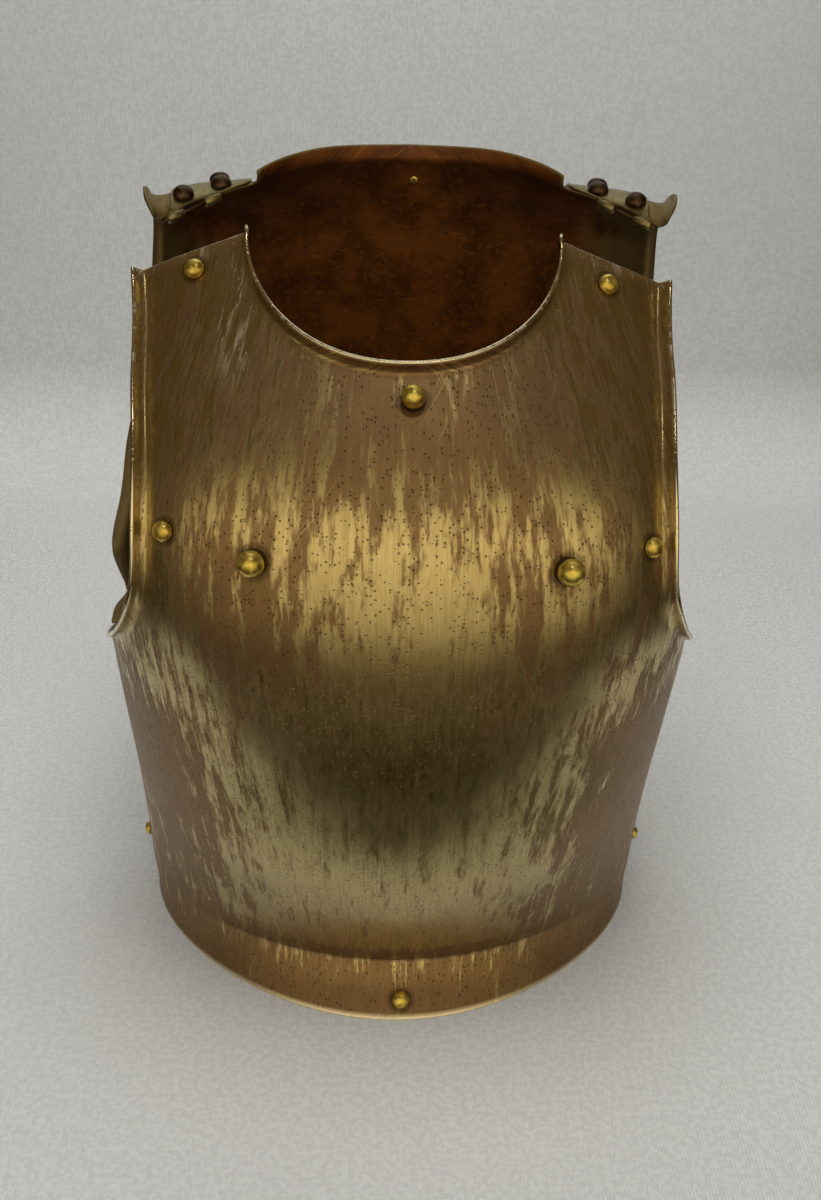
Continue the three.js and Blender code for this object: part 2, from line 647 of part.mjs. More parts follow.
function leafSheet(hand, wall) {
  const sheet = new Sheet();
  const lines = steps(4).map((v) =>
    steps(6).map((u) => {
      const x = THREE.MathUtils.lerp(LEAF.inner_x, LEAF.outer_x, u);
      const along = THREE.MathUtils.clamp(u, LEAF_ROUND.margin, 1 - LEAF_ROUND.margin);
      const round = LEAF_ROUND.least + LEAF_ROUND.swell * Math.sqrt(Math.sin(Math.PI * along));
      const fromEdge = THREE.MathUtils.lerp(-LEAF.depth * round, LEAF.front, v);
      const { point, normal } = backFace(hand * x, fromEdge, 0);
      const { outer } = wallHeights(wall, point, normal, LEAF_REACH);
      const top = Math.max(outer, BACK_THICKNESS / 2 + LEAF_SPARE);
      return sheet.add(point.addScaledVector(normal, top + LEAF_CLEARANCE + LEAF.thickness / 2));
    }),
  );
  for (let r = 0; r + 1 < lines.length; r += 1) {
    if (hand > 0) sheet.join(lines[r + 1], lines[r]);
    else sheet.join(lines[r], lines[r + 1]);
  }
  return sheet.thicken(LEAF.thickness, []);
}

// The hinge's own line, just in front of the plate's edge.
function hingeLine(hand) {
  const ends = [HINGE_LINE.inner_x, HINGE_LINE.outer_x].map((x) => {
    const at = backFace(hand * x, 0, HINGE_LINE.lift);
    const behind = backFace(hand * x, -1, HINGE_LINE.lift);
    const forward = new THREE.Vector3().subVectors(at.point, behind.point).normalize();
    return at.point.addScaledVector(forward, HINGE_LINE.forward);
  });
  const along = new THREE.Vector3().subVectors(ends[1], ends[0]);
  return { start: ends[0], length: along.length(), along: along.normalize() };
}

function laid(geometry, point, direction) {
  const turn = new THREE.Quaternion().setFromUnitVectors(new THREE.Vector3(0, 1, 0), direction);
  const place = new THREE.Matrix4().compose(point, turn, new THREE.Vector3(1, 1, 1));
  return geometry.clone().applyMatrix4(place);
}

function hingeLeaf(hand, sheet, rivets) {
  const line = hingeLine(hand);
  const ring = [
    [KNUCKLE.bore, 0],
    [KNUCKLE.radius, 0],
    [KNUCKLE.radius, KNUCKLE.length],
    [KNUCKLE.bore, KNUCKLE.length],
    [KNUCKLE.bore, 0],
  ].map(([r, y]) => new THREE.Vector2(r, y));
  let solid = solidOf(sheet);
  for (const start of [0, line.length - KNUCKLE.length]) {
    const point = line.start.clone().addScaledVector(line.along, start);
    solid = solid.add(solidOf(laid(new THREE.LatheGeometry(ring, KNUCKLE.sides), point, line.along)));
  }
  for (const rivet of rivets) solid = solid.subtract(holeSolid(rivet.point, rivet.normal));
  return geometryOfSolid(solid);
}

function holeSolid(point, normal) {
  return solidOf(laid(new THREE.CylinderGeometry(HOLE_RADIUS, HOLE_RADIUS, HOLE_LENGTH, HOLE_SIDES), point, normal));
}

// The whole object
const group = new THREE.Group();
group.position.set(CENTRE_X, SEAM_Y, 0);

function addMesh(name, geometry, look) {
  const mesh = new THREE.Mesh(geometry, new THREE.MeshStandardMaterial(look));
  mesh.name = name;
  group.add(mesh);
  return mesh;
}

function addRivet(rivet, wallMesh, look) {
  const { name, head, point, normal } = rivet;
  const wall = wallHeights(wallMesh, point, normal, head.ball ? head.radius * 0.8 : head.radius);
  const mesh = addMesh(name, rivetGeometry(head, wall), look);
  mesh.position.copy(point);
  mesh.quaternion.setFromUnitVectors(new THREE.Vector3(0, 1, 0), normal);
}

function placedRivet({ name, head, plate, angle, up }) {
  const point = plate.surface(angle, up);
  point.y += plate.seam;
  return { name, head, plate, point, normal: outward(plate.surface, angle, up, plate.facing) };
}

const HINGE_RIVETS = [
  { name: "inner", x: 116, fromEdge: -5.5 },
  { name: "outer", x: 138, fromEdge: -7 },
  { name: "rear", x: 118, fromEdge: -23 },
];
const solids = new Map([FRONT, BACK].map((plate) => [plate, solidOf(makePlate(plate))]));
const bothFaces = new THREE.MeshBasicMaterial({ side: THREE.DoubleSide });
const wallOf = (geometry) => new THREE.Mesh(geometry, bothFaces);
const walls = new Map([...solids].map(([plate, solid]) => [plate, wallOf(geometryOfSolid(solid))]));
const cutFrom = (plate, { point, normal }) => {
  solids.set(plate, solids.get(plate).subtract(holeSolid(point, normal)));
};

for (const rivet of RIVETS.map(placedRivet)) {
  cutFrom(rivet.plate, rivet);
  addRivet(rivet, walls.get(rivet.plate), BRASS);
}

for (const [hand, letter] of [[-1, "l"], [1, "r"]]) {
  const rivets = HINGE_RIVETS.map((r) => ({
    name: `hinge_rivet_${r.name}_${letter}`,
    head: HINGE_DOME,
    ...backFace(hand * r.x, r.fromEdge, 0),
  }));
  const sheet = leafSheet(hand, walls.get(BACK));
  const layers = new THREE.Group();
  layers.add(wallOf(sheet), walls.get(BACK));
  for (const rivet of rivets) {
    cutFrom(BACK, rivet);
    addRivet(rivet, layers, DARK_IRON);
  }
  addMesh(`hinge_leaf_${letter}`, hingeLeaf(hand, sheet, rivets), OLD_BRASS);
  const line = hingeLine(hand);
  const middle = line.start.clone().addScaledVector(line.along, line.length / 2 + PIN_SHIFT);
  const pin = new THREE.CylinderGeometry(KNUCKLE.pin, KNUCKLE.pin, line.length + PIN_EXTRA, 8);
  addMesh(`hinge_pin_${letter}`, laid(pin, middle, line.along), DARK_IRON);
}
addMesh("breastplate", geometryOfSolid(solids.get(FRONT)), STEEL);
addMesh("back_plate", geometryOfSolid(solids.get(BACK)), BACK_STEEL);

export default group;
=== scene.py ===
"""Looks of a cavalry cuirass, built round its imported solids. Metres, +Z up, the breastplate towards -Y."""

import bpy
import numpy as np
from mathutils import Euler, Matrix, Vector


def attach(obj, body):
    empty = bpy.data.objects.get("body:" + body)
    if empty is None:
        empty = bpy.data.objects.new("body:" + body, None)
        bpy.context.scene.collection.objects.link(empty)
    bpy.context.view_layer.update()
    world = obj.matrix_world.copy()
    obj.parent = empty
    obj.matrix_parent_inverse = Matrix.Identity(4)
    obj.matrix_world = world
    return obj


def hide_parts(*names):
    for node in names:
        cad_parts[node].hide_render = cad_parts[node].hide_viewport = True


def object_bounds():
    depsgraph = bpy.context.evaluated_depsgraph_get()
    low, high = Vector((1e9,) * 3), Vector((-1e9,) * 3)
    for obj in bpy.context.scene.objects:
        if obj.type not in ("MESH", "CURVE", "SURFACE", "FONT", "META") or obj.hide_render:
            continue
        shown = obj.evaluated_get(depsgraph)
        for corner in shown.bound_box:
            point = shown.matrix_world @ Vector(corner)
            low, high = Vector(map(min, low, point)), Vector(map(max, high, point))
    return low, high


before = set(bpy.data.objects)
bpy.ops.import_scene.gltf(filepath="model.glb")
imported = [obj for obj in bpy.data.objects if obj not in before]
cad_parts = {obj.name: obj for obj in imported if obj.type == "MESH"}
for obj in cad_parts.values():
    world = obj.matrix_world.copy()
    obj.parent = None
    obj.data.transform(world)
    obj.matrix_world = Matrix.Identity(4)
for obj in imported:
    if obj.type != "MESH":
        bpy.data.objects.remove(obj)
solid_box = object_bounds()
scene = bpy.context.scene
MM = 0.001

# Camera at the photograph's viewing angle: lens and sensor in millimetres, angles in degrees
LENS, SENSOR = 45, 36
CAMERA_TILT, CAMERA_ROLL, CAMERA_TURN = 61.9643, -1.2709, -1.6536
CAMERA_PLACE = (-0.02385, -0.8309, 0.67)
camera_data = bpy.data.cameras.new("camera")
camera_data.lens = LENS
camera_data.sensor_width = SENSOR
camera = bpy.data.objects.new("camera", camera_data)
scene.collection.objects.link(camera)
camera_turn = Euler(np.radians((CAMERA_TILT, CAMERA_ROLL, CAMERA_TURN)).tolist())
camera.matrix_world = Matrix.Translation(CAMERA_PLACE) @ camera_turn.to_matrix().to_4x4()
scene.camera = camera

# Sizes in millimetres, the same as those of the solids
FRONT_WALL, BACK_WALL, SEAM_GAP = 2.2, 1.8, 0.4
SEAM_Y, CENTRE_X = 20.7, 2.4
WAIST_Z, UNDERARM_Z, PLATE_TOP = 26, 196, 415


def table(columns, rows):
    """A dictionary of columns from rows of numbers."""
    return dict(zip(columns.split(), np.array(rows, float).T))


FRONT_ROWS = table("z half_width depth fullness", [
    (26, 165, 124, -0.012), (60, 166.5, 140.5, -0.009), (120, 170, 166, 0.004),
    (180, 175, 174.5, 0.022), (240, 178.5, 178, 0.042), (300, 179.5, 176, 0.054),
    (350, 175, 160.5, 0.051), (390, 167.5, 131, 0.035), (425, 158.5, 92.5, 0.011),
    (462, 151, 53, -0.008),
])
FRONT_WAIST = table("z half_width depth fullness", [
    (0, 162.5, 149.5, -0.017), (13, 163, 134.5, -0.014), (26, 165, 124, -0.012),
])
BACK_ROWS = table("z half_width depth fullness", [
    (26, 165, 98, -0.01), (60, 166.5, 104, 0), (120, 170, 117, 0.01), (180, 175, 130, 0.02),
    (240, 179, 139, 0.03), (300, 182, 142, 0.04), (350, 181, 141.5, 0.05), (415, 180, 138, 0.06),
])
BACK_WAIST = table("z half_width depth fullness", [
    (0, 162.5, 120, -0.01), (13, 163, 106, -0.01), (26, 165, 98, -0.01),
])
ROLL_ROWS = table("x start radius", [
    (0, 415, 200), (40, 415, 105), (60, 415, 74), (80, 415, 56), (95, 416, 47), (112, 422, 37),
    (130, 424, 34), (150, 424, 32), (190, 424, 31),
])
ROLL_START, BACK_LEAN, FRONT_LEAN, RIGHT_SHOULDER_DROP = 0.05, 5.5, -1.8, 4
LEAN_START, LEAN_SPAN = 200, 260
DROP_ACROSS = (20, 140)
RIDGE_HEIGHT, RIDGE_SPREAD = 4.5, 45
RIDGE_RISES, RIDGE_FADES = (30, 95), (300, 375)
NECK = {"tip_x": 86.5, "tip_z": 461.5, "base_z": 407.5, "roundness": 2.22}
SHOULDER_CORNER = {"angle": 64.5, "up": 439}
FRONT_ARMHOLE = table("up angle flange", [
    (196, 90, 0.05), (208, 84, 0.15), (220, 76.5, 0.2), (232, 68.5, 0.35), (243, 61.5, 0.55),
    (253, 56, 0.8), (266, 50, 1), (292, 44, 1), (330, 42.8, 1), (370, 46.5, 1), (400, 53.2, 1),
    (439, 64.5, 1),
])
FRONT_ARMHOLE_STOPS = (196, 207, 218, 230, 242, 254, 268, 286, 309, 336, 364, 390, 414, 439)
BACK_NECK = {"centre": 468.5, "tip": 483, "tip_x": 95}
BACK_SHOULDER = 496
BACK_ARMHOLE = table("up left right flange_left flange_right open", [
    (196, 90, 90, 0.85, 0.3, 1), (198.5, 84.5, 86.5, 0.9, 0.3, 1), (202, 79.2, 81.5, 0.55, 0.3, 1),
    (210, 78, 72.7, 0.45, 0.3, 1), (222, 79, 70, 0.6, 0.5, 1), (238, 80, 68.6, 0.8, 0.7, 1),
    (241, 79.8, 68.4, 0.8, 0.7, 1), (262, 71.5, 66.4, 0.85, 0.8, 1), (295, 64, 62.5, 1, 1, 1),
    (350, 54, 54, 1, 1, 1), (400, 51.5, 51.5, 0.8, 0.8, 1), (435, 50.5, 50.5, 0.7, 0.7, 1.3),
    (460, 49.8, 49.8, 0.8, 0.8, 2.2), (478, 49.2, 49.2, 0.85, 0.9, 3.2), (488, 48.9, 48.9, 0.8, 0.85, 3.4),
    (496, 48.7, 48.7, 0.4, 0.45, 3.4),
])
BACK_ARMHOLE_STOPS = (196, 198.5, 202, 209, 223, 239.5, 250, 264, 284, 312, 342, 374, 403, 432, 458, 479, 496)
NECK_FLANGE = table("step across out", [(0, 0, 0), (1, 1.6, 0.9), (2, 3.1, 3.6), (3, 3.6, 7.6)])
ARM_FLANGE = table("step across out", [(0, 0, 0), (1, 1.7, 1), (2, 3.2, 4), (3, 3.6, 8.2)])
BACK_NECK_FLANGE = table("step across out", [(0, 0, 0), (1, 2, 0.8), (2, 4.6, 3.4), (3, 6, 7)])


def smooth_column(rows, key, column, place):
    """Cubic Hermite curve through a table's column: in each interval the two values and their two
    slopes, each slope the mean of its neighbours' rises weighted by the opposite step."""
    k, v = rows[key], rows[column]
    step = np.diff(k)
    rise = np.diff(v) / step
    slope = np.concatenate(([rise[0]], (rise[:-1] * step[1:] + rise[1:] * step[:-1])
                            / (step[1:] + step[:-1]), [rise[-1]]))
    i = np.clip(np.searchsorted(k[1:], place), 0, len(k) - 2)
    t = np.clip((place - k[i]) / step[i], 0, 1)
    return ((2 * t**3 - 3 * t**2 + 1) * v[i] + (t**3 - 2 * t**2 + t) * step[i] * slope[i]
            + (3 * t**2 - 2 * t**3) * v[i + 1] + (t**3 - t**2) * step[i] * slope[i + 1])


def smoothstep(low, high, value):
    """0 below low, 1 above high, three t squared minus two t cubed between."""
    t = np.clip((value - low) / (high - low), 0, 1)
    return t * t * (3 - 2 * t)


def section(rows, angle, z):
    """Horizontal section: x is the half width times sine plus fullness times the sine of three times
    the angle, y the depth times the matching cosines, both over one minus fullness."""
    width, depth, full = (smooth_column(rows, "z", c, z) for c in ("half_width", "depth", "fullness"))
    x = width * (np.sin(angle) + full * np.sin(3 * angle)) / (1 - full)
    y = depth * (np.cos(angle) - full * np.cos(3 * angle)) / (1 - full)
    return x, y


def lean_share(z):
    """How far a plate has leaned aside at a height: the square of the share of the way up."""
    return np.clip((z - LEAN_START) / LEAN_SPAN, 0, 1) ** 2


def front_point(angle, z):
    """The breastplate's middle surface: its section in front of the seam, a ridge that fades as e to
    minus the distance over its spread, a lean that grows with the square of the height."""
    high = section(FRONT_ROWS, angle, np.maximum(z, WAIST_Z))
    low = section(FRONT_WAIST, angle, np.minimum(z, WAIST_Z))
    x, y = (np.where(z < WAIST_Z, a, b) for a, b in zip(low, high))
    ridge = RIDGE_HEIGHT * smoothstep(*RIDGE_RISES, z) * (1 - smoothstep(*RIDGE_FADES, z))
    y = -y - ridge * np.exp(-np.abs(x) / RIDGE_SPREAD)
    lean = lean_share(z)
    drop = RIGHT_SHOULDER_DROP * lean * smoothstep(*DROP_ACROSS, x)
    return np.stack((x + FRONT_LEAN * lean, y - SEAM_GAP / 2, z - drop), -1)


def back_point(angle, up):
    """The back plate's middle surface: its section behind the seam, and above the plate's top an arc
    that rolls forwards, whose turn is the height past the top over the roll's radius."""
    high = section(BACK_ROWS, angle, np.clip(up, WAIST_Z, PLATE_TOP))
    low = section(BACK_WAIST, angle, np.minimum(up, WAIST_Z))
    x, y = (np.where(up < WAIST_Z, a, b) for a, b in zip(low, high))
    start, radius = (smooth_column(ROLL_ROWS, "x", c, np.abs(x)) for c in ("start", "radius"))
    turn = ROLL_START + np.maximum(up - start, 0) / radius
    y = y - radius * (np.cos(ROLL_START) - np.cos(turn))
    z = np.minimum(up, start) + radius * (np.sin(turn) - np.sin(ROLL_START))
    return np.stack((x + BACK_LEAN * lean_share(z), y + SEAM_GAP / 2, z), -1)


HALVINGS = 40


def angle_at(rows, x, z):
    """The angle where a section reaches the distance x, by halving a quarter turn again and again."""
    low, high = np.zeros_like(x), np.full_like(x, np.pi / 2)
    for _ in range(HALVINGS):
        middle = (low + high) / 2
        inside = section(rows, middle, z)[0] < x
        low, high = np.where(inside, middle, low), np.where(inside, high, middle)
    return (low + high) / 2


def along_stops(stops, count):
    """count + 1 heights that run smoothly through a list of stops."""
    rows = {"index": np.arange(len(stops), dtype=float), "up": np.array(stops, float)}
    return smooth_column(rows, "index", "up", np.linspace(0, len(stops) - 1, count + 1))


SEAM_STEPS, ARM_STEPS, NECK_STEPS, SHOULDER_STEPS, WAIST_STEPS, FLANGE_STEPS = 28, 44, 26, 8, 12, 9
FINER = 2
SMOOTHING_PASSES, SMOOTHING_SHARE = 1400, 0.75
# A flat place is the angle as millimetres round the body, and the height. Each step of a turned edge
# moves it aside by FLAT_OUT. LIP_REACH is how far a wall's edge bulges, in halves of the wall.
FLAT_SCALE = (165, 1)
FLAT_OUT = 3
SEAM_FADE = 10
LIP_REACH = 0.8
SEAM_UP = np.linspace(WAIST_Z, UNDERARM_Z, SEAM_STEPS + 1)


def side_edge(armhole, column, stops):
    """The plate's side from the waist up its seam and round its armhole, as angle and height."""
    up = along_stops(stops, ARM_STEPS)[1:]
    angle = np.radians(smooth_column(armhole, "up", column, up))
    seam = np.full_like(SEAM_UP, np.pi / 2)
    return np.stack((np.concatenate((seam, angle)), np.concatenate((SEAM_UP, up))), -1)


def front_edges():
    """The neck as a quarter of a superellipse, then a straight shoulder, and the side."""
    t = np.linspace(0, 1, NECK_STEPS + 1)
    s, c = (f(t * np.pi / 2).clip(0) ** (2 / NECK["roundness"]) for f in (np.sin, np.cos))
    up = NECK["tip_z"] - (NECK["tip_z"] - NECK["base_z"]) * c
    neck = np.stack((angle_at(FRONT_ROWS, NECK["tip_x"] * s, up), up), -1)
    corner = np.array((np.radians(SHOULDER_CORNER["angle"]), SHOULDER_CORNER["up"]))
    share = np.linspace(0, 1, SHOULDER_STEPS + 1)[1:, None]
    side = side_edge(FRONT_ARMHOLE, "angle", FRONT_ARMHOLE_STOPS)
    return np.concatenate((neck, neck[-1] + share * (corner - neck[-1]))), side, side


def back_edges():
    """The neck rises with the square of the distance from the middle to its tip, then the shoulder."""
    tip = angle_at(BACK_ROWS, np.array(float(BACK_NECK["tip_x"])), np.array(float(PLATE_TOP)))
    t = np.linspace(0, 1, NECK_STEPS + 1)
    up = BACK_NECK["centre"] + (BACK_NECK["tip"] - BACK_NECK["centre"]) * t * t
    neck = np.stack((tip * t, up), -1)
    corner = np.array((np.radians(BACK_ARMHOLE["left"][-1]), BACK_SHOULDER))
    share = np.linspace(0, 1, SHOULDER_STEPS + 1)[1:, None]
    sides = (side_edge(BACK_ARMHOLE, hand, BACK_ARMHOLE_STOPS) for hand in ("left", "right"))
    return np.concatenate((neck, neck[-1] + share * (corner - neck[-1]))), *sides


def place_grid(top, left, right):
    """Places between the edges: a straight blend of the sides and the top, then elliptic smoothing,
    where each place moves to the mean of its neighbours weighted by the squares of the grid's steps."""
    half = len(top) - 1
    u = np.abs(np.arange(-half, half + 1)) / half
    sign = np.sign(np.arange(-half, half + 1))
    tops = top[np.abs(np.arange(-half, half + 1))]
    share = ((right[:, 1] - WAIST_Z) / (right[-1, 1] - WAIST_Z))[:, None]
    angle = sign * ((1 - share) * u * np.pi / 2 + share * tops[:, 0])
    grid = np.stack((angle, (1 - share) * WAIST_Z + share * tops[:, 1]), -1)
    grid[:, 0], grid[:, -1] = left * (-1, 1), right
    grid = grid * FLAT_SCALE
    for _ in range(SMOOTHING_PASSES):
        east, west, north, south = grid[1:-1, 2:], grid[1:-1, :-2], grid[2:, 1:-1], grid[:-2, 1:-1]
        du, dv = (east - west) / 2, (north - south) / 2
        a, b, g = (dv * dv).sum(-1), (du * dv).sum(-1), (du * du).sum(-1)
        cross = (grid[2:, 2:] - grid[2:, :-2] - grid[:-2, 2:] + grid[:-2, :-2]) / 4
        a, b, g = (m[..., None] for m in (a, b, g))
        moved = (a * (east + west) + g * (north + south) - 2 * b * cross) / (2 * (a + g))
        moved[:, half - 1, 0] = 0
        grid[1:-1, 1:-1] = grid[1:-1, 1:-1] * (1 - SMOOTHING_SHARE) + moved * SMOOTHING_SHARE
    return finer(finer(grid, 0), 1) / FLAT_SCALE


def finer(grid, axis):
    """Doubles a grid along an axis: a new place is nine sixteenths of its two neighbours' sum less
    one sixteenth of the next two's."""
    g = np.moveaxis(grid, axis, 0)
    padded = np.concatenate((2 * g[:1] - g[1:2], g, 2 * g[-1:] - g[-2:-1]))
    between = (9 * (g[:-1] + g[1:]) - padded[:-3] - padded[3:]) / 16
    out = np.empty((2 * len(g) - 1,) + g.shape[1:])
    out[::2], out[1::2] = g, between
    return np.moveaxis(out, 0, axis)


class Sheet:
    """Points of a plate's middle surface with their flat places, and quads between rows of points."""

    def __init__(self):
        self.points, self.flat, self.quads, self.count = [], [], [], 0

    def add(self, points, flat):
        ids = np.arange(self.count, self.count + points[..., 0].size).reshape(points.shape[:-1])
        self.points.append(points.reshape(-1, 3))
        self.flat.append(flat.reshape(-1, 2))
        self.count += ids.size
        return ids

    def join(self, rows, flip):
        """Quads between neighbouring rows of ids."""
        a, b, c, d = rows[:-1, :-1], rows[:-1, 1:], rows[1:, 1:], rows[1:, :-1]
        quad = np.stack((a, b, c, d), -1).reshape(-1, 4)
        self.quads.append(quad[:, ::-1] if flip else quad)

    def arrays(self):
        return np.concatenate(self.points), np.concatenate(self.flat), np.concatenate(self.quads)


def unit(vectors):
    """Each vector at length one."""
    return vectors / np.linalg.norm(vectors, axis=-1, keepdims=True).clip(1e-9)


def point_normals(points, quads):
    """Each point's normal: the sum of the crossed diagonals of its quads, at length one."""
    cross = np.cross(points[quads[:, 2]] - points[quads[:, 0]], points[quads[:, 3]] - points[quads[:, 1]])
    total = np.zeros_like(points)
    for k in range(4):
        np.add.at(total, quads[:, k], cross)
    return unit(total)


def free_edges(quads, count):
    """Start and end of each edge that only one quad has, the way round that quad."""
    start = quads.reshape(-1)
    end = np.roll(quads, -1, axis=1).reshape(-1)
    free = ~np.isin(start * count + end, end * count + start)
    return start[free], end[free]


LIP_ANGLES = np.radians((90, 50, 15, -15, -50, -90))


def walled(points, quads, thickness):
    """A closed wall round a sheet: both faces stand half the thickness along the normals, and round
    each free edge the wall's edge goes as cosine outwards and sine along the normal.
    Gives points, faces and the sheet point that each new point comes from."""
    count = len(points)
    normals = point_normals(points, quads)
    start, end = free_edges(quads, count)
    out = np.zeros_like(points)
    edge_out = unit(np.cross(points[end] - points[start], normals[start] + normals[end]))
    np.add.at(out, start, edge_out)
    np.add.at(out, end, edge_out)
    out = unit(out)
    rim = np.unique(start)
    place = np.zeros(count, int)
    place[rim] = np.arange(len(rim))
    half = thickness / 2
    rings = [rim]
    made = [points + normals * half, points - normals * half]
    source = [np.arange(count)] * 2
    for k, turn in enumerate(LIP_ANGLES[1:-1]):
        edge = np.sin(turn) * normals[rim] + LIP_REACH * np.cos(turn) * out[rim]
        made.append(points[rim] + half * edge)
        rings.append(2 * count + k * len(rim) + np.arange(len(rim)))
        source.append(rim)
    rings.append(rim + count)
    faces = [quads, quads[:, ::-1] + count]
    for low, high in zip(rings[:-1], rings[1:]):
        a, b = place[start], place[end]
        faces.append(np.stack((low[b], low[a], high[a], high[b]), -1))
    return np.concatenate(made), np.concatenate(faces), np.concatenate(source)


def add_flange(sheet, base, base_flat, normals, profile, turn, width, open_out, at_seam=False):
    """A turned edge: from each edge point, steps across the surface and out along its normal, both
    times the edge's share. turn is 1 or -1, by the way round the plate. An edge that starts at the
    seam starts out in the seam's plane and leaves it over SEAM_FADE points."""
    across = np.cross(unit(np.gradient(base, axis=0)), normals) * turn
    out = normals
    if at_seam:
        fade = smoothstep(0, SEAM_FADE, np.arange(len(base), dtype=float))[:, None]
        keep = np.array((1, 0, 1)) + fade * (0, 1, 0)
        across, out = across * keep, out * keep
    across, out = unit(across), unit(out)
    steps = np.linspace(0, profile["step"][-1], FLANGE_STEPS + 1)[1:, None]
    reach = smooth_column(profile, "step", "across", steps)
    rise = smooth_column(profile, "step", "out", steps)
    points = (base[None] + (reach * (width * open_out)[None])[..., None] * across[None]
              + (rise * width[None])[..., None] * out[None])
    away = np.stack((steps * FLAT_OUT * np.sign(base_flat[:, 0]), steps * np.ones(len(base))), -1)
    return sheet.add(points, base_flat[None] + away)


def plate_sheet(surface, edges, facing, neck_flange, armhole, shares):
    """A plate's middle surface with its waist, neck and armhole edges turned out."""
    places = place_grid(*edges)
    half = (places.shape[1] - 1) // 2
    waist_up = np.linspace(0, WAIST_Z, WAIST_STEPS + 1)[:-1]
    waist = np.stack(np.broadcast_arrays(places[0, :, 0], waist_up[:, None]), -1)
    places = np.concatenate((waist, places))
    sheet = Sheet()
    flat = places * FLAT_SCALE
    ids = sheet.add(surface(places[..., 0], places[..., 1]), flat)
    sheet.join(ids, facing < 0)
    points, _, quads = sheet.arrays()
    normals = point_normals(points, quads)
    reach = NECK_STEPS * FINER
    across_neck = slice(half - reach, half + reach + 1)
    neck = ids[-1, across_neck]
    whole = np.ones(len(neck))
    rows = add_flange(sheet, points[neck], flat[-1, across_neck], normals[neck], neck_flange, -facing,
                      whole, whole)
    sheet.join(np.concatenate((neck[None], rows)), facing < 0)
    first = len(waist_up) + SEAM_STEPS * FINER
    for hand, share in zip((-1, 1), shares):
        column = -1 if hand > 0 else 0
        edge = ids[first:, column]
        up = places[first:, column, 1]
        width = smooth_column(armhole, "up", share, up)
        spread = smooth_column(armhole, "up", "open", up) if "open" in armhole else np.ones(len(up))
        rows = add_flange(sheet, points[edge], flat[first:, column], normals[edge], ARM_FLANGE,
                          hand * facing, width, spread, at_seam=True)
        sheet.join(np.concatenate((edge[None], rows)), hand * facing > 0)
    return sheet.arrays()


def new_mesh(name, points, faces):
    """A mesh object from an array of points in millimetres, in the part's own frame, and a list of faces."""
    mesh = bpy.data.meshes.new(name)
    mesh.from_pydata((points * MM).tolist(), [], faces)
    mesh.polygons.foreach_set("use_smooth", np.ones(len(mesh.polygons), bool))
    mesh.update()
    piece = bpy.data.objects.new(name, mesh)
    scene.collection.objects.link(piece)
    return piece


def put_attribute(piece, name, values):
    """A named value, or a flat place, on each point of a mesh."""
    kind = "FLOAT" if values.ndim == 1 else "FLOAT_VECTOR"
    attribute = piece.data.attributes.new(name, kind, "POINT")
    attribute.data.foreach_set("value" if values.ndim == 1 else "vector", values.astype(np.float32).ravel())


def settle(piece, slot, *nodes):
    """The piece rides on the one body and stands for its nodes, whose solids it hides. The slot is not used.
    """
    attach(piece, "root")
    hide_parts(*nodes)


PLACE = np.array((CENTRE_X, SEAM_Y, 0))


def make_plate(name, surface, edges, facing, neck_flange, armhole, shares, thickness, slot):
    """A walled plate kept on its own side of the seam and above the floor. Its attributes are the flat
    place, lip (1 on a free edge) and inside (0 outside, 1 inside, a half on the wall's edge)."""
    points, flat, quads = plate_sheet(surface, edges, facing, neck_flange, armhole, shares)
    made, faces, source = walled(points, quads, thickness)
    made[:, 1] = np.minimum(made[:, 1], -SEAM_GAP / 2) if facing > 0 else np.maximum(made[:, 1], SEAM_GAP / 2)
    made[:, 2] = np.maximum(made[:, 2], 0)
    piece = new_mesh(name, made + PLACE, faces.tolist())
    put_attribute(piece, "flat", np.concatenate((flat[source], np.zeros((len(source), 1))), 1) * MM)
    count = len(points)
    lip = np.zeros(count)
    lip[np.concatenate(free_edges(quads, count))] = 1
    put_attribute(piece, "lip", lip[source])
    inside = np.repeat((0.0, 1.0, 0.5), (count, count, len(source) - 2 * count))
    put_attribute(piece, "inside", inside)
    settle(piece, slot, name)
    return piece


breastplate = make_plate("breastplate", front_point, front_edges(), 1, NECK_FLANGE, FRONT_ARMHOLE,
                         ("flange", "flange"), FRONT_WALL, "front_steel")
back_plate = make_plate("back_plate", back_point, back_edges(), -1, BACK_NECK_FLANGE, BACK_ARMHOLE,
                        ("flange_left", "flange_right"), BACK_WALL, "back_steel")


SMALL_ANGLE, SMALL_RISE = 0.002, 0.3


def outward(surface, angle, up, facing):
    """A place on a surface and the normal there, from the cross of two small steps."""
    angle, up = np.asarray(angle, float), np.asarray(up, float)
    here, aside, above = (surface(a, u) for a, u in
                          ((angle, up), (angle + SMALL_ANGLE, up), (angle, up + SMALL_RISE)))
    return here, unit(np.cross(aside - here, above - here) * facing)


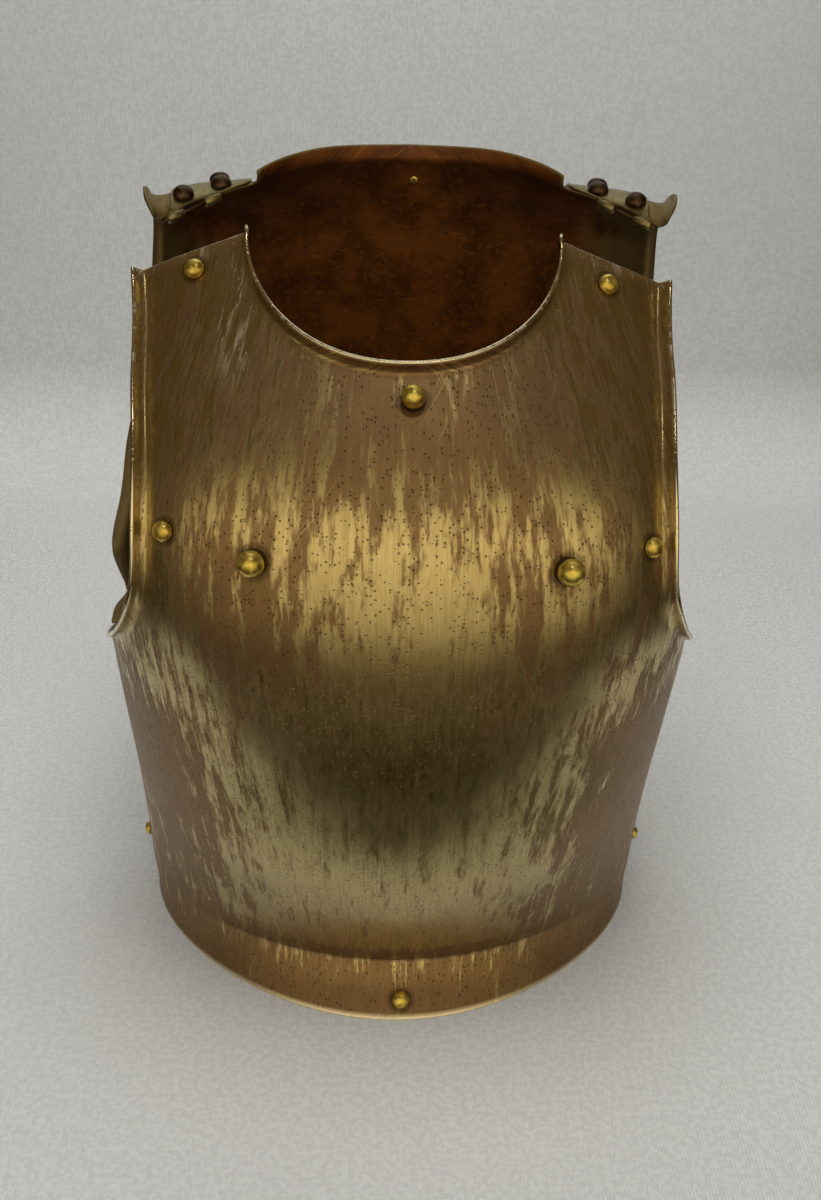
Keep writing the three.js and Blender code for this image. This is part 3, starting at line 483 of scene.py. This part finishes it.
def spun(profile, sides, point, axis):
    """A closed profile of radius and height turned round an axis, its two ends on the axis."""
    helper = (0, 0, 1) if abs(axis[2]) < 0.9 else (1, 0, 0)
    first = unit(np.cross(helper, axis))
    second = np.cross(axis, first)
    turn = np.linspace(0, 2 * np.pi, sides, endpoint=False)
    ring = np.cos(turn)[:, None] * first + np.sin(turn)[:, None] * second
    radius, height = profile[1:-1, 0], profile[1:-1, 1]
    points = point + radius[:, None, None] * ring + height[:, None, None] * axis
    ends = point + profile[[0, -1], 1][:, None] * axis
    points = np.concatenate((points.reshape(-1, 3), ends))
    row = np.arange(sides)
    after = (row + 1) % sides
    low = (np.arange(len(radius) - 1) * sides)[:, None]
    faces = np.stack((low + row, low + after, low + sides + after, low + sides + row), -1).reshape(-1, 4)
    last = (len(radius) - 1) * sides
    bottom = np.stack((np.full(sides, len(points) - 2), after, row), -1)
    top = np.stack((np.full(sides, len(points) - 1), last + row, last + after), -1)
    return points, faces.tolist() + bottom.tolist() + top.tolist()


def spun_piece(name, profile, sides, point, axis, slot, node):
    """A piece turned from a profile, standing for one node."""
    points, faces = spun(profile, sides, point, axis)
    piece = new_mesh(name, points + PLACE, faces)
    settle(piece, slot, node)
    return piece


RIVET_SIDES, KNUCKLE_SIDES, PIN_SIDES = 36, 28, 20
# Each head's radius, its height, and whether it is a ball
HEADS = {"border": (5.8, 5.2, False), "small": (4.5, 3.6, False), "stud": (7.3, 12.4, True),
         "neck_stud": (6.4, 11, True), "hinge": (6.5, 5.4, False)}
SEAT, SHANK, TAIL_RADIUS, TAIL_HEIGHT, TAIL_END = 0.3, 1.5, 2.9, 1.1, 0.05
# A ball's narrow foot and a dome's upright foot: shares of the head's radius, and the rise
BALL_FOOT, BALL_NECK, BALL_FOOT_RISE, BALL_FROM = 0.6, 0.66, 0.5, -42
DOME_FOOT, DOME_FOOT_RISE, DOME_POWER = 0.97, 0.35, 0.8


def rivet_profile(head, inner, outer):
    """Radius and height of a rivet: a flattened tail, the shank, then a low dome as a power of the
    cosine, or a ball on a narrow foot."""
    radius, height, ball = HEADS[head]
    base = outer + SEAT
    t = np.radians((-60, -20, 20, 60, 90))
    under = inner - SEAT
    tail = np.stack((TAIL_RADIUS * np.cos(t), under + TAIL_HEIGHT / 2 * (np.sin(t) - 1)), -1)
    tail[-1] = (SHANK, under)
    if ball:
        a = np.radians(np.linspace(BALL_FROM, 90, 16))
        centre = base + height - radius
        foot = np.array(((radius * BALL_FOOT, base), (radius * BALL_NECK, base + BALL_FOOT_RISE)))
        top = np.stack((radius * np.cos(a), centre + radius * np.sin(a)), -1)
        top = np.concatenate((foot, top))
    else:
        a = np.radians(np.linspace(0, 90, 12))
        shoulder = base + DOME_FOOT_RISE
        foot = np.array(((radius * DOME_FOOT, base), (radius, shoulder)))
        rise = (height - DOME_FOOT_RISE) * np.sin(a)
        top = np.stack((radius * np.cos(a) ** DOME_POWER, shoulder + rise), -1)
        top = np.concatenate((foot, top[1:]))
    top[-1, 0] = 0
    return np.concatenate((((0, tail[0, 1] - TAIL_END),), tail, ((SHANK, base),), top))


def on_front(x, up):
    """The angle of the breastplate's place at a distance from the middle and a height."""
    return np.sign(x) * angle_at(FRONT_ROWS, np.array(abs(float(x))), np.array(float(up)))


# Name, head, plate, angle round the body and height
RIVETS = (
    ("neck_stud", "neck_stud", "front", on_front(3.2, 397.6), 397.6),
    ("shoulder_rivet_l", "border", "front", on_front(-112.5, 443.7), 443.7),
    ("shoulder_rivet_r", "border", "front", on_front(110.5, 442), 442),
    ("armhole_rivet_l", "border", "front", on_front(-125.5, 332.5), 332.5),
    ("armhole_rivet_r", "border", "front", on_front(129.3, 326), 326),
    ("chest_stud_l", "stud", "front", on_front(-78.5, 325), 325),
    ("chest_stud_r", "stud", "front", on_front(82.6, 322), 322),
    ("underarm_rivet_l", "small", "front", np.radians(-85), 191.5),
    ("underarm_rivet_r", "small", "front", np.radians(85), 191.5),
    ("side_rivet_l", "small", "front", np.radians(-84), 46),
    ("side_rivet_r", "small", "front", np.radians(84), 42),
    ("waist_rivet", "border", "front", np.radians(1), 7.5),
    ("back_neck_rivet", "border", "back", np.radians(1), 455),
    ("back_armhole_rivet_l", "border", "back", np.radians(-52), 320),
    ("back_armhole_rivet_r", "border", "back", np.radians(52), 320),
    ("back_underarm_rivet_l", "small", "back", np.radians(-86.6), 184),
    ("back_underarm_rivet_r", "small", "back", np.radians(86.6), 184),
    ("back_side_rivet_l", "small", "back", np.radians(-86.6), 40),
    ("back_side_rivet_r", "small", "back", np.radians(86.6), 40),
    ("back_waist_rivet", "border", "back", np.radians(0.5), 9),
)
rivets, seats = [], []
for name, head, plate, angle, up in RIVETS:
    surface, facing, wall = ((front_point, 1, FRONT_WALL), (back_point, -1, BACK_WALL))[plate == "back"]
    point, normal = outward(surface, angle, up, facing)
    profile = rivet_profile(head, -wall / 2, wall / 2)
    if plate == "front":
        seats.append(((point + normal * wall / 2 + PLACE) * MM, HEADS[head][0] * MM))
    rivets.append(spun_piece(name, profile, RIVET_SIDES, point, normal, "rivet_brass", name))

# Shoulder hinges
LEAF = {"thickness": 1.6, "inner_x": 99, "outer_x": 145, "depth": 33, "front": 1.5, "lift": 0.75}
KNUCKLE = {"radius": 2.9, "bore": 1.7, "length": 11.5, "pin": 1.2}
HINGE_LINE = {"inner_x": 116, "outer_x": 146, "forward": 4.1, "lift": 0.9}
PIN_EXTRA, PIN_SHIFT = 4, 1
BARREL_EASE = 0.4
LEAF_STEPS_ACROSS, LEAF_STEPS_BACK = 36, 18
# The leaf's depth at its corners, as a share of its depth, and how far in its ends the curve starts
CORNER_DEPTH, CORNER_IN = 0.55, 0.02
HINGE_RIVETS = (("inner", 116, -5.5), ("outer", 138, -7), ("rear", 118, -23))
CORNER_X = 150


def back_face(x, from_edge):
    """A place on the back plate's shoulder: its height is the shoulder edge's at that distance from the
    middle, plus from_edge."""
    x, from_edge = np.broadcast_arrays(np.asarray(x, float), np.asarray(from_edge, float))
    angle = np.sign(x) * angle_at(BACK_ROWS, np.abs(x), np.full_like(x, float(PLATE_TOP)))
    share = (np.abs(x) - BACK_NECK["tip_x"]) / (CORNER_X - BACK_NECK["tip_x"])
    up = BACK_NECK["tip"] + (BACK_SHOULDER - BACK_NECK["tip"]) * share + from_edge
    return outward(back_point, angle, up, -1)


def hinge_leaf(hand):
    """A leaf laid on the shoulder: a grid over distance from the middle and distance from the edge, its
    back edge rounded by the root of a sine."""
    u, v = np.meshgrid(np.linspace(0, 1, LEAF_STEPS_ACROSS + 1), np.linspace(0, 1, LEAF_STEPS_BACK + 1))
    x = LEAF["inner_x"] + (LEAF["outer_x"] - LEAF["inner_x"]) * u
    curve = np.sqrt(np.sin(np.pi * np.clip(u, CORNER_IN, 1 - CORNER_IN)))
    rounding = CORNER_DEPTH + (1 - CORNER_DEPTH) * curve
    from_edge = -LEAF["depth"] * rounding * (1 - v) + LEAF["front"] * v
    here, normal = back_face(hand * x, from_edge)
    sheet = Sheet()
    points = here + normal * (BACK_WALL / 2 + LEAF["lift"] + LEAF["thickness"] / 2)
    ids = sheet.add(points, np.stack((x, from_edge), -1))
    sheet.join(ids, hand > 0)
    points, _, quads = sheet.arrays()
    return walled(points, quads, LEAF["thickness"])[:2]


def hinge_line(hand):
    """The hinge's start, direction and length, just in front of the shoulder's edge."""
    x = hand * np.array((HINGE_LINE["inner_x"], HINGE_LINE["outer_x"]), float)
    at, normal = back_face(x, 0)
    behind, behind_normal = back_face(x, -1)
    at, behind = at + normal * HINGE_LINE["lift"], behind + behind_normal * HINGE_LINE["lift"]
    ends = at + unit(at - behind) * HINGE_LINE["forward"]
    along = ends[1] - ends[0]
    return ends[0], unit(along), np.linalg.norm(along)


def barrel_profile(radius, low, high):
    """A short rod with eased ends, as radius and height from one end's middle to the other's."""
    narrow = radius - BARREL_EASE
    return np.array(((0, low), (narrow, low), (radius, low + BARREL_EASE), (radius, high - BARREL_EASE),
                     (narrow, high), (0, high)), float)


leaves, pins, domes = [], [], []
for hand, letter in ((-1, "l"), (1, "r")):
    points, faces = hinge_leaf(hand)
    start, along, length = hinge_line(hand)
    all_points, all_faces = [points], faces.tolist()
    for low in (0, length - KNUCKLE["length"]):
        profile = barrel_profile(KNUCKLE["radius"], low, low + KNUCKLE["length"])
        barrel, barrel_faces = spun(profile, KNUCKLE_SIDES, start, along)
        shift = sum(len(a) for a in all_points)
        all_faces += [[k + shift for k in face] for face in barrel_faces]
        all_points.append(barrel)
    leaf = new_mesh("shoulder_leaf_" + letter, np.concatenate(all_points) + PLACE, all_faces)
    settle(leaf, "old_brass", "hinge_leaf_" + letter)
    leaves.append(leaf)
    low = PIN_SHIFT - PIN_EXTRA / 2
    profile = barrel_profile(KNUCKLE["pin"], low, low + length + PIN_EXTRA)
    pins.append(spun_piece("shoulder_pin_" + letter, profile, PIN_SIDES, start, along, "dark_iron",
                           "hinge_pin_" + letter))
    outer = BACK_WALL / 2 + LEAF["lift"] + LEAF["thickness"]
    profile = rivet_profile("hinge", -BACK_WALL / 2, outer)
    for place, x, from_edge in HINGE_RIVETS:
        point, normal = back_face(hand * x, from_edge)
        end = f"{place}_{letter}"
        domes.append(spun_piece("dome_" + end, profile, RIVET_SIDES, point, normal, "dark_iron",
                                "hinge_rivet_" + end))


# Materials
def material(name):
    """A new material and helpers that add nodes to it and join them."""
    made = bpy.data.materials.new(name)
    made.use_nodes = True
    return made, Nodes(made.node_tree)


class Nodes:
    """Adds shader nodes to a tree: inputs are set by name or number, to values or other nodes' sockets."""

    def __init__(self, tree):
        self.tree = tree

    def put(self, node, inputs):
        for key, value in inputs.items():
            if isinstance(value, bpy.types.NodeSocket):
                self.tree.links.new(value, node.inputs[key])
            else:
                node.inputs[key].default_value = value
        return node

    def add(self, kind, inputs=None, **settings):
        node = self.tree.nodes.new(kind)
        for key, value in settings.items():
            setattr(node, key, value)
        return self.put(node, inputs or {})

    def principled(self, inputs):
        return self.put(self.tree.nodes["Principled BSDF"], inputs)

    def math(self, operation, a, b=0.0, clamp=False):
        return self.add("ShaderNodeMath", {0: a, 1: b}, operation=operation, use_clamp=clamp).outputs[0]

    def vary(self, value, amount):
        """The value's distance from a half, times an amount."""
        return self.math("MULTIPLY", self.math("SUBTRACT", value, 0.5), amount)

    def span(self, value, low, high, to_low=0.0, to_high=1.0):
        return self.add("ShaderNodeMapRange", {0: value, 1: low, 2: high, 3: to_low, 4: to_high},
                        interpolation_type="SMOOTHSTEP").outputs[0]

    def mix(self, factor, a, b):
        return self.add("ShaderNodeMix", {0: factor, 6: a, 7: b}, data_type="RGBA").outputs[2]

    def noise(self, vector, scale, detail=3.0, rough=0.55, stretch=(1, 1, 1)):
        mapped = self.add("ShaderNodeMapping", {0: vector, 3: stretch}).outputs[0]
        return self.add("ShaderNodeTexNoise", {"Vector": mapped, "Scale": scale, "Detail": detail,
                                               "Roughness": rough}).outputs[0]

    def attribute(self, name, output):
        return self.add("ShaderNodeAttribute", attribute_name=name).outputs[output]

    def place(self):
        return self.add("ShaderNodeTexCoord").outputs["Object"]

    def away(self, middle, reach):
        """Distance in metres from a middle, across and up, each over its reach."""
        shift = (-middle[0] / reach[0], 0, -middle[1] / reach[1])
        scale = (1 / reach[0], 0, 1 / reach[1])
        mapped = self.add("ShaderNodeMapping", {0: self.place(), 1: shift, 3: scale}).outputs[0]
        return self.add("ShaderNodeVectorMath", {0: mapped}, operation="LENGTH").outputs["Value"]

    def bump(self, strength, distance, height):
        return self.add("ShaderNodeBump", {"Strength": strength, "Distance": distance,
                                           "Height": height}).outputs[0]


def linear(code):
    """A colour from its six-figure sheet code, as linear light."""
    value = np.array([int(code[k:k + 2], 16) for k in (0, 2, 4)]) / 255
    value = np.where(value < 0.04045, value / 12.92, ((value + 0.055) / 1.055) ** 2.4)
    return (*value.tolist(), 1.0)


def new_group(name, inputs, outputs):
    """A shader node group with named inputs (name, kind, default) and outputs (name, kind)."""
    tree = bpy.data.node_groups.new(name, "ShaderNodeTree")
    for label, kind, value in inputs:
        socket = tree.interface.new_socket(label, in_out="INPUT", socket_type="NodeSocket" + kind)
        if value is not None:
            socket.default_value = value
    for label, kind in outputs:
        tree.interface.new_socket(label, in_out="OUTPUT", socket_type="NodeSocket" + kind)
    nodes = Nodes(tree)
    return tree, nodes, nodes.add("NodeGroupInput"), nodes.add("NodeGroupOutput")


def pits_group():
    """Small dark pits: where the distance to a cell's middle is under a radius that noise thins out."""
    tree, n, inside, outside = new_group("pits", [("Vector", "Vector", None), ("Scale", "Float", 400.0),
                                                  ("Amount", "Float", 0.5)], [("Mask", "Float")])
    scaled = n.add("ShaderNodeVectorMath", {0: inside.outputs[0], 3: inside.outputs[1]},
                   operation="SCALE").outputs[0]
    cells = n.add("ShaderNodeTexVoronoi", {"Vector": scaled, "Scale": 1.0, "Randomness": 1.0})
    ragged = n.vary(n.noise(scaled, 2.3, 2.0), 0.5)
    distance = n.math("ADD", cells.outputs["Distance"], ragged)
    chance = n.add("ShaderNodeSeparateColor", {0: cells.outputs["Color"]}).outputs[0]
    chosen = n.math("LESS_THAN", chance, inside.outputs[2])
    dot = n.span(distance, 0.22, 0.36, 1.0, 0.0)
    n.tree.links.new(n.math("MULTIPLY", dot, chosen), outside.inputs[0])
    return tree


def streaks_group():
    """Streaks along one direction: noise squeezed across it, at two scales."""
    tree, n, inside, outside = new_group("streaks", [("Vector", "Vector", None), ("Turn", "Float", 0.0)],
                                         [("Fine", "Float"), ("Broad", "Float")])
    turned = n.add("ShaderNodeVectorRotate", {"Vector": inside.outputs[0], "Angle": inside.outputs[1]},
                   rotation_type="Z_AXIS").outputs[0]
    n.tree.links.new(n.noise(turned, 1.0, 3.0, 0.7, (900, 28, 28)), outside.inputs[0])
    n.tree.links.new(n.noise(turned, 1.0, 3.0, 0.6, (150, 22, 22)), outside.inputs[1])
    return tree


def seats_group():
    """Distance from the nearest rivet's middle, in heads' radii: the least of the scaled distances."""
    tree, n, inside, outside = new_group("rivet_seats", [("Vector", "Vector", None)], [("Distance", "Float")])
    least = 9.0
    for middle, radius in seats:
        away = n.add("ShaderNodeVectorMath", {0: inside.outputs[0], 1: tuple(middle)}, operation="DISTANCE")
        least = n.math("MINIMUM", n.math("MULTIPLY", away.outputs["Value"], 1 / radius), least)
    n.tree.links.new(least, outside.inputs[0])
    return tree


PITS, STREAKS, SEATS = pits_group(), streaks_group(), seats_group()


def group(n, tree, **inputs):
    """The outputs of a node group added to a tree."""
    return n.add("ShaderNodeGroup", inputs, node_tree=tree).outputs


def front_steel():
    """Old polished steel: ragged brown staining with painted shade in the waist crease, upright streaks,
    pits, a painted dark reflection on the lower chest, dirt and painted shade round the rivets, bright lips
    outside that are worn and painted as a highlight, and rust inside."""
    made, n = material("front_steel")
    flat = n.attribute("flat", "Vector")
    stain_and_shade = n.attribute("stain_and_shade", "Fac")
    lip = n.attribute("lip", "Fac")
    streaks = group(n, STREAKS, Vector=flat, Turn=0.0)
    ragged = n.noise(flat, 1.0, 5.0, 0.68, (110, 24, 24))
    fine = n.noise(flat, 1.0, 4.0, 0.7, (420, 70, 70))
    broken = n.math("ADD", n.vary(ragged, 1.35), n.vary(fine, 1.0))
    broken = n.math("ADD", broken, n.vary(streaks["Broad"], 1.15))
    # The brown mask follows the stain patches: mostly rust, and painted shade in the waist crease.
    brown = n.span(n.math("ADD", stain_and_shade, broken), 0.36, 0.7)
    pits = group(n, PITS, Vector=flat, Scale=560.0, Amount=0.36)["Mask"]
    clear = n.mix(n.noise(flat, 1.0, 2.0, 0.6, (40, 20, 20)), linear("C2AF7C"), linear("D8C894"))
    clear = n.mix(n.span(streaks["Fine"], 0.35, 0.65), n.mix(0.35, clear, linear("8E7B4C")), clear)
    rust = n.mix(n.noise(flat, 1.0, 3.0, 0.6, (90, 50, 50)), linear("5C3E24"), linear("8C6242"))
    colour = n.mix(n.math("MULTIPLY", brown, 0.78), clear, rust)
    colour = n.mix(n.math("MULTIPLY", pits, 0.6), colour, linear("33271A"))
    # A dark olive patch across the lower chest, broken up by the ragged noise: a painted reflection of the
    # dark band that the chest mirrors there.
    dark_reflection = n.span(n.away((0.0125, 0.18125), (0.125, 0.0625)), 0.3, 1.3, 1.0, 0.0)
    dark_reflection = n.math("MULTIPLY", dark_reflection, n.span(ragged, 0.3, 0.7, 0.35, 0.75))
    colour = n.mix(dark_reflection, colour, linear("5A5426"))
    scratch = n.span(group(n, STREAKS, Vector=flat, Turn=0.6)["Fine"], 0.6, 0.7)
    colour = n.mix(n.math("MULTIPLY", scratch, 0.3), colour, linear("DCCB96"))
    flakes = n.span(n.away((-0.09, 0.42943), (0.01, 0.03003)), 0.5, 1.3, 1.0, 0.0)
    flakes = n.math("MULTIPLY", flakes, n.span(fine, 0.48, 0.55))
    colour = n.mix(n.math("MULTIPLY", flakes, 0.8), colour, linear("CFC6A8"))
    # Pale rims on every free edge: wear, brightened further as a painted highlight.
    colour = n.mix(n.math("MULTIPLY", lip, 0.85), colour, linear("F2E8C8"))
    inside = n.attribute("inside", "Fac")
    colour = n.mix(n.span(inside, 0.55, 0.9, 0.0, 0.85), colour, linear("5A3412"))
    near = group(n, SEATS, Vector=n.place())["Distance"]
    # A dark ring in the groove round each rivet's seat and at each head's foot: grime together with painted
    # shade.
    grime_and_shade = n.math("MULTIPLY", n.span(near, 1.0, 1.12), n.span(near, 1.22, 1.6, 1.0, 0.0))
    foot_grime_and_shade = n.span(near, 1.0, 1.2, 1.0, 0.0)
    grime_and_shade = n.math("MAXIMUM", n.math("MULTIPLY", grime_and_shade, 0.45), n.math("MULTIPLY", foot_grime_and_shade, 0.8))
    colour = n.mix(grime_and_shade, colour, linear("2A1E10"))
    rough = n.span(brown, 0, 1, 0.3, 0.46)
    rough = n.math("ADD", rough, n.vary(fine, 0.25))
    rough = n.math("ADD", rough, n.math("MULTIPLY", pits, 0.2))
    rough = n.math("SUBTRACT", rough, n.math("MULTIPLY", lip, 0.14), clamp=True)
    height = n.math("SUBTRACT", n.math("MULTIPLY", streaks["Fine"], 0.12), n.math("MULTIPLY", pits, 0.5))
    height = n.math("SUBTRACT", height, n.math("MULTIPLY", brown, 0.12))
    height = n.math("ADD", height, n.math("MULTIPLY", n.noise(flat, 1.0, 2.0, 0.5, (70, 55, 55)), 0.9))
    height = n.math("ADD", height, n.math("MULTIPLY", n.span(near, 1.15, 1.45), 0.6))
    n.principled({"Base Color": colour, "Roughness": rough, "Normal": n.bump(0.35, 0.0004, height),
                  "Metallic": n.span(brown, 0, 1, 1.0, 0.9)})
    return made


def back_steel():
    """The back plate: mottled rust inside, with a paler border, and worn streaked steel outside."""
    made, n = material("back_steel")
    flat = n.attribute("flat", "Vector")
    lip = n.attribute("lip", "Fac")
    cloud = n.noise(flat, 1.0, 7.0, 0.6, (45, 38, 38))
    spots = n.noise(flat, 1.0, 6.0, 0.7, (260, 240, 240))
    pits = group(n, PITS, Vector=flat, Scale=300.0, Amount=0.2)["Mask"]
    colour = n.mix(n.span(cloud, 0.35, 0.65), linear("4C2602"), linear("6C3A06"))
    colour = n.mix(n.span(spots, 0.5, 0.7), colour, linear("80480E"))
    colour = n.mix(n.math("MULTIPLY", pits, 0.6), colour, linear("241408"))
    colour = n.mix(n.math("MULTIPLY", lip, 0.75), colour, linear("76683C"))
    across = n.add("ShaderNodeSeparateXYZ", {0: n.place()}).outputs[0]
    border = n.span(n.math("ADD", n.math("ABSOLUTE", across), n.vary(cloud, 0.08)), 0.118, 0.146)
    colour = n.mix(n.math("MULTIPLY", border, 0.8), colour, linear("6E6038"))
    inside = n.attribute("inside", "Fac")
    streaks = group(n, STREAKS, Vector=flat, Turn=0.0)
    outer = n.span(inside, 0.1, 0.45, 1.0, 0.0)
    worn = n.mix(n.span(streaks["Broad"], 0.25, 0.75), linear("86704A"), linear("A2925F"))
    worn = n.mix(n.span(spots, 0.56, 0.74, 0.0, 0.5), worn, linear("6E5030"))
    colour = n.mix(n.math("MULTIPLY", outer, 0.9), colour, worn)
    height = n.math("SUBTRACT", n.math("MULTIPLY", spots, 0.5), n.math("MULTIPLY", pits, 0.7))
    n.principled({"Base Color": colour, "Roughness": n.span(cloud, 0.3, 0.7, 0.42, 0.62),
                  "Normal": n.bump(0.5, 0.0005, height), "Metallic": n.span(outer, 0, 1, 0.55, 0.95)})
    return made


def worn_metal(name, bright, dull, dark, rough, metallic=1.0):
    """Brass or iron of the fittings: two tones in clouds, and small dark specks."""
    made, n = material(name)
    place = n.place()
    cloud = n.noise(place, 260.0, 5.0, 0.6)
    specks = n.noise(place, 900.0, 4.0, 0.7)
    colour = n.mix(n.span(cloud, 0.35, 0.65), linear(dull), linear(bright))
    colour = n.mix(n.span(specks, 0.56, 0.7, 0.0, 0.7), colour, linear(dark))
    n.principled({"Base Color": colour, "Roughness": n.span(cloud, 0.3, 0.7, rough, rough + 0.18),
                  "Normal": n.bump(0.12, 0.0002, cloud), "Metallic": metallic})
    return made


# Where the breastplate is stained, with one thin patch of painted shade in the waist crease: middle of each
# patch across and up, its half sizes, and how much
STAINS_AND_SHADE = table("x z wide tall amount", [
    (0, 400, 150, 34, 0.38), (-76, 290, 34, 58, 0.42), (-150, 185, 34, 50, 0.4), (150, 185, 34, 50, 0.4),
    # The thin, wide patch at x 0, z 36 is painted shade in the waist crease's valley.
    (66, 300, 22, 70, 0.34), (0, 8, 170, 20, 0.58), (0, 36, 120, 8, 0.35), (0, 368, 55, 38, 0.3),
    (-138, 100, 46, 120, 0.5), (138, 100, 50, 130, 0.6), (-110, 330, 30, 60, 0.2), (120, 330, 30, 60, 0.2),
    (0, 180, 80, 40, 0.12),
])
STAIN_BASE = 0.3


def stain_and_shade_amount(points):
    """How much stain, and painted shade in the waist crease, each point carries: a base amount plus, for each
    patch, its amount times e to minus the squared distance from its middle in its own half sizes."""
    x, z = points[:, 0], points[:, 2]
    total = np.full(len(points), STAIN_BASE)
    for px, pz, wide, tall, amount in np.stack(list(STAINS_AND_SHADE.values()), -1):
        total += amount * np.exp(-((x - px) / wide) ** 2 - ((z - pz) / tall) ** 2)
    return total


corners = np.empty(len(breastplate.data.vertices) * 3, np.float32)
breastplate.data.vertices.foreach_get("co", corners)
put_attribute(breastplate, "stain_and_shade", stain_and_shade_amount(corners.reshape(-1, 3) / MM))

STEEL, BACK = front_steel(), back_steel()
BRASS = worn_metal("rivet_brass", "F2DC72", "BEA040", "5A4818", 0.24, 0.9)
OLD_BRASS = worn_metal("old_brass", "B0A478", "8A8058", "3A3020", 0.34)
IRON = worn_metal("dark_iron", "6A5440", "4A3A2C", "20180F", 0.34)
for pieces, look in (([breastplate], STEEL), ([back_plate], BACK), (rivets, BRASS), (leaves, OLD_BRASS),
                     (pins + domes, IRON)):
    for piece in pieces:
        piece.data.materials.append(look)

# Stage: a pale cloth that rises behind the object, and the light
FLOOR_FRONT, BACKDROP, COVE, HALF_WIDTH, WALL_TOP = -0.278, 0.76, 0.12, 0.52, 2.6


def stage_cloth():
    """A cloth that lies flat, then bends up along a quarter circle into an upright wall."""
    bend = np.radians(np.linspace(0, 90, 24))
    y = np.concatenate(([FLOOR_FRONT], BACKDROP - COVE + COVE * np.sin(bend), [BACKDROP]))
    z = np.concatenate(([0], COVE - COVE * np.cos(bend), [WALL_TOP]))
    x = np.array((-HALF_WIDTH, HALF_WIDTH))
    points = np.stack(np.broadcast_arrays(x, y[:, None], z[:, None]), -1).reshape(-1, 3)
    k = np.arange(len(y) - 1) * 2
    return new_mesh("stage_cloth", points / MM, np.stack((k, k + 1, k + 3, k + 2), -1).tolist())


cloth = stage_cloth()
made, n = material("pale_cloth")
where = n.place()
weave = n.noise(where, 260.0, 1.0, 0.6)
rib = n.add("ShaderNodeTexWave", {"Vector": where, "Scale": 150.0, "Distortion": 0.0, "Detail": 0.0},
            bands_direction="X").outputs["Fac"]
tone = n.mix(n.noise(where, 3.0, 1.0), linear("D2D3D1"), linear("E2E3E0"))
tone = n.mix(n.span(weave, 0.4, 0.6, 0.0, 0.5), tone, linear("C6C7C5"))
weave_height = n.math("ADD", n.math("MULTIPLY", weave, 0.6), n.math("MULTIPLY", rib, 0.4))
cloth_bump = n.bump(0.5, 0.0015, weave_height)
cloth_shader = n.principled({"Base Color": tone, "Roughness": 0.85, "Normal": cloth_bump})
# The cloth has one side, so that from behind the object stands clear of it
behind = n.add("ShaderNodeNewGeometry").outputs["Backfacing"]
clear_cloth = n.add("ShaderNodeBsdfTransparent").outputs[0]
one_sided = n.add("ShaderNodeMixShader", {0: behind, 1: cloth_shader.outputs[0], 2: clear_cloth}).outputs[0]
n.tree.links.new(one_sided, n.tree.nodes["Material Output"].inputs[0])
cloth.data.materials.append(made)


def lamp(name, place, target, size, power, colour, gloss):
    """A soft square lamp that faces its target; gloss says whether metal mirrors it."""
    data = bpy.data.lights.new(name, "AREA")
    data.size, data.energy, data.color = size, power, colour
    light = bpy.data.objects.new(name, data)
    back = unit(np.subtract(place, target))
    side = unit(np.cross((0, 0, 1), back))
    turn = np.eye(4)
    turn[:3] = np.stack((side, np.cross(back, side), back, place), -1)
    light.matrix_world = Matrix(turn.tolist())
    light.visible_glossy = gloss
    scene.collection.objects.link(light)


def card(name, corner, across, upward, colour, strength, middle, reach):
    """A glowing card that only metal mirrors: four corners from one corner and its two sides. Its glow
    falls from the middle as a smooth step of the distance over the reach, across and up."""
    corner, across, upward = (np.array(v, float) for v in (corner, across, upward))
    points = np.stack((corner, corner + across, corner + across + upward, corner + upward))
    piece = new_mesh(name, points / MM, [(0, 1, 2, 3)])
    made, n = material(name)
    n.tree.nodes.remove(n.tree.nodes["Principled BSDF"])
    power = n.span(n.away(middle, reach), 0.1, 1.0, strength, 0.0)
    glow = n.add("ShaderNodeEmission", {"Color": colour, "Strength": power})
    n.tree.links.new(glow.outputs[0], n.tree.nodes["Material Output"].inputs[0])
    piece.data.materials.append(made)
    piece.visible_camera = piece.visible_diffuse = piece.visible_shadow = False


lamp("soft_top", (-0.05, -0.45, 2.4), (0, 0.1, 0), 2.4, 23, (0.95, 0.98, 1.0), False)
lamp("front_fill", (-0.2, -2.2, 1.6), (0, 0, 0.2), 2.2, 15, (0.95, 0.98, 1.0), False)
lamp("wall_wash", (0, -0.1, 1.9), (0, 0.76, 1.1), 1.2, 14, (0.96, 0.98, 1.0), False)
lamp("sparkle", (0.15, -0.7, 2.4), (0, 0, 0.3), 0.25, 2.5, (1.0, 0.95, 0.8), True)
card("warm_wall", (-5.0, -1.6, -0.6), (10.0, 0, 0), (0, 0, 3.9), linear("FFEBC2"), 1.05,
     (0, 0.95), (4.4, 1.9))

world = bpy.data.worlds.new("room")
scene.world = world
world.use_nodes = True
wn = Nodes(world.node_tree)
direction = wn.add("ShaderNodeSeparateXYZ", {0: wn.add("ShaderNodeTexCoord").outputs["Generated"]}).outputs[2]
shade = wn.mix(wn.span(direction, -0.25, 0.75), linear("382C1B"), linear("5A4830"))
wn.tree.links.new(shade, world.node_tree.nodes["Background"].inputs[0])
scene.view_settings.view_transform = "Standard"

low, high = solid_box
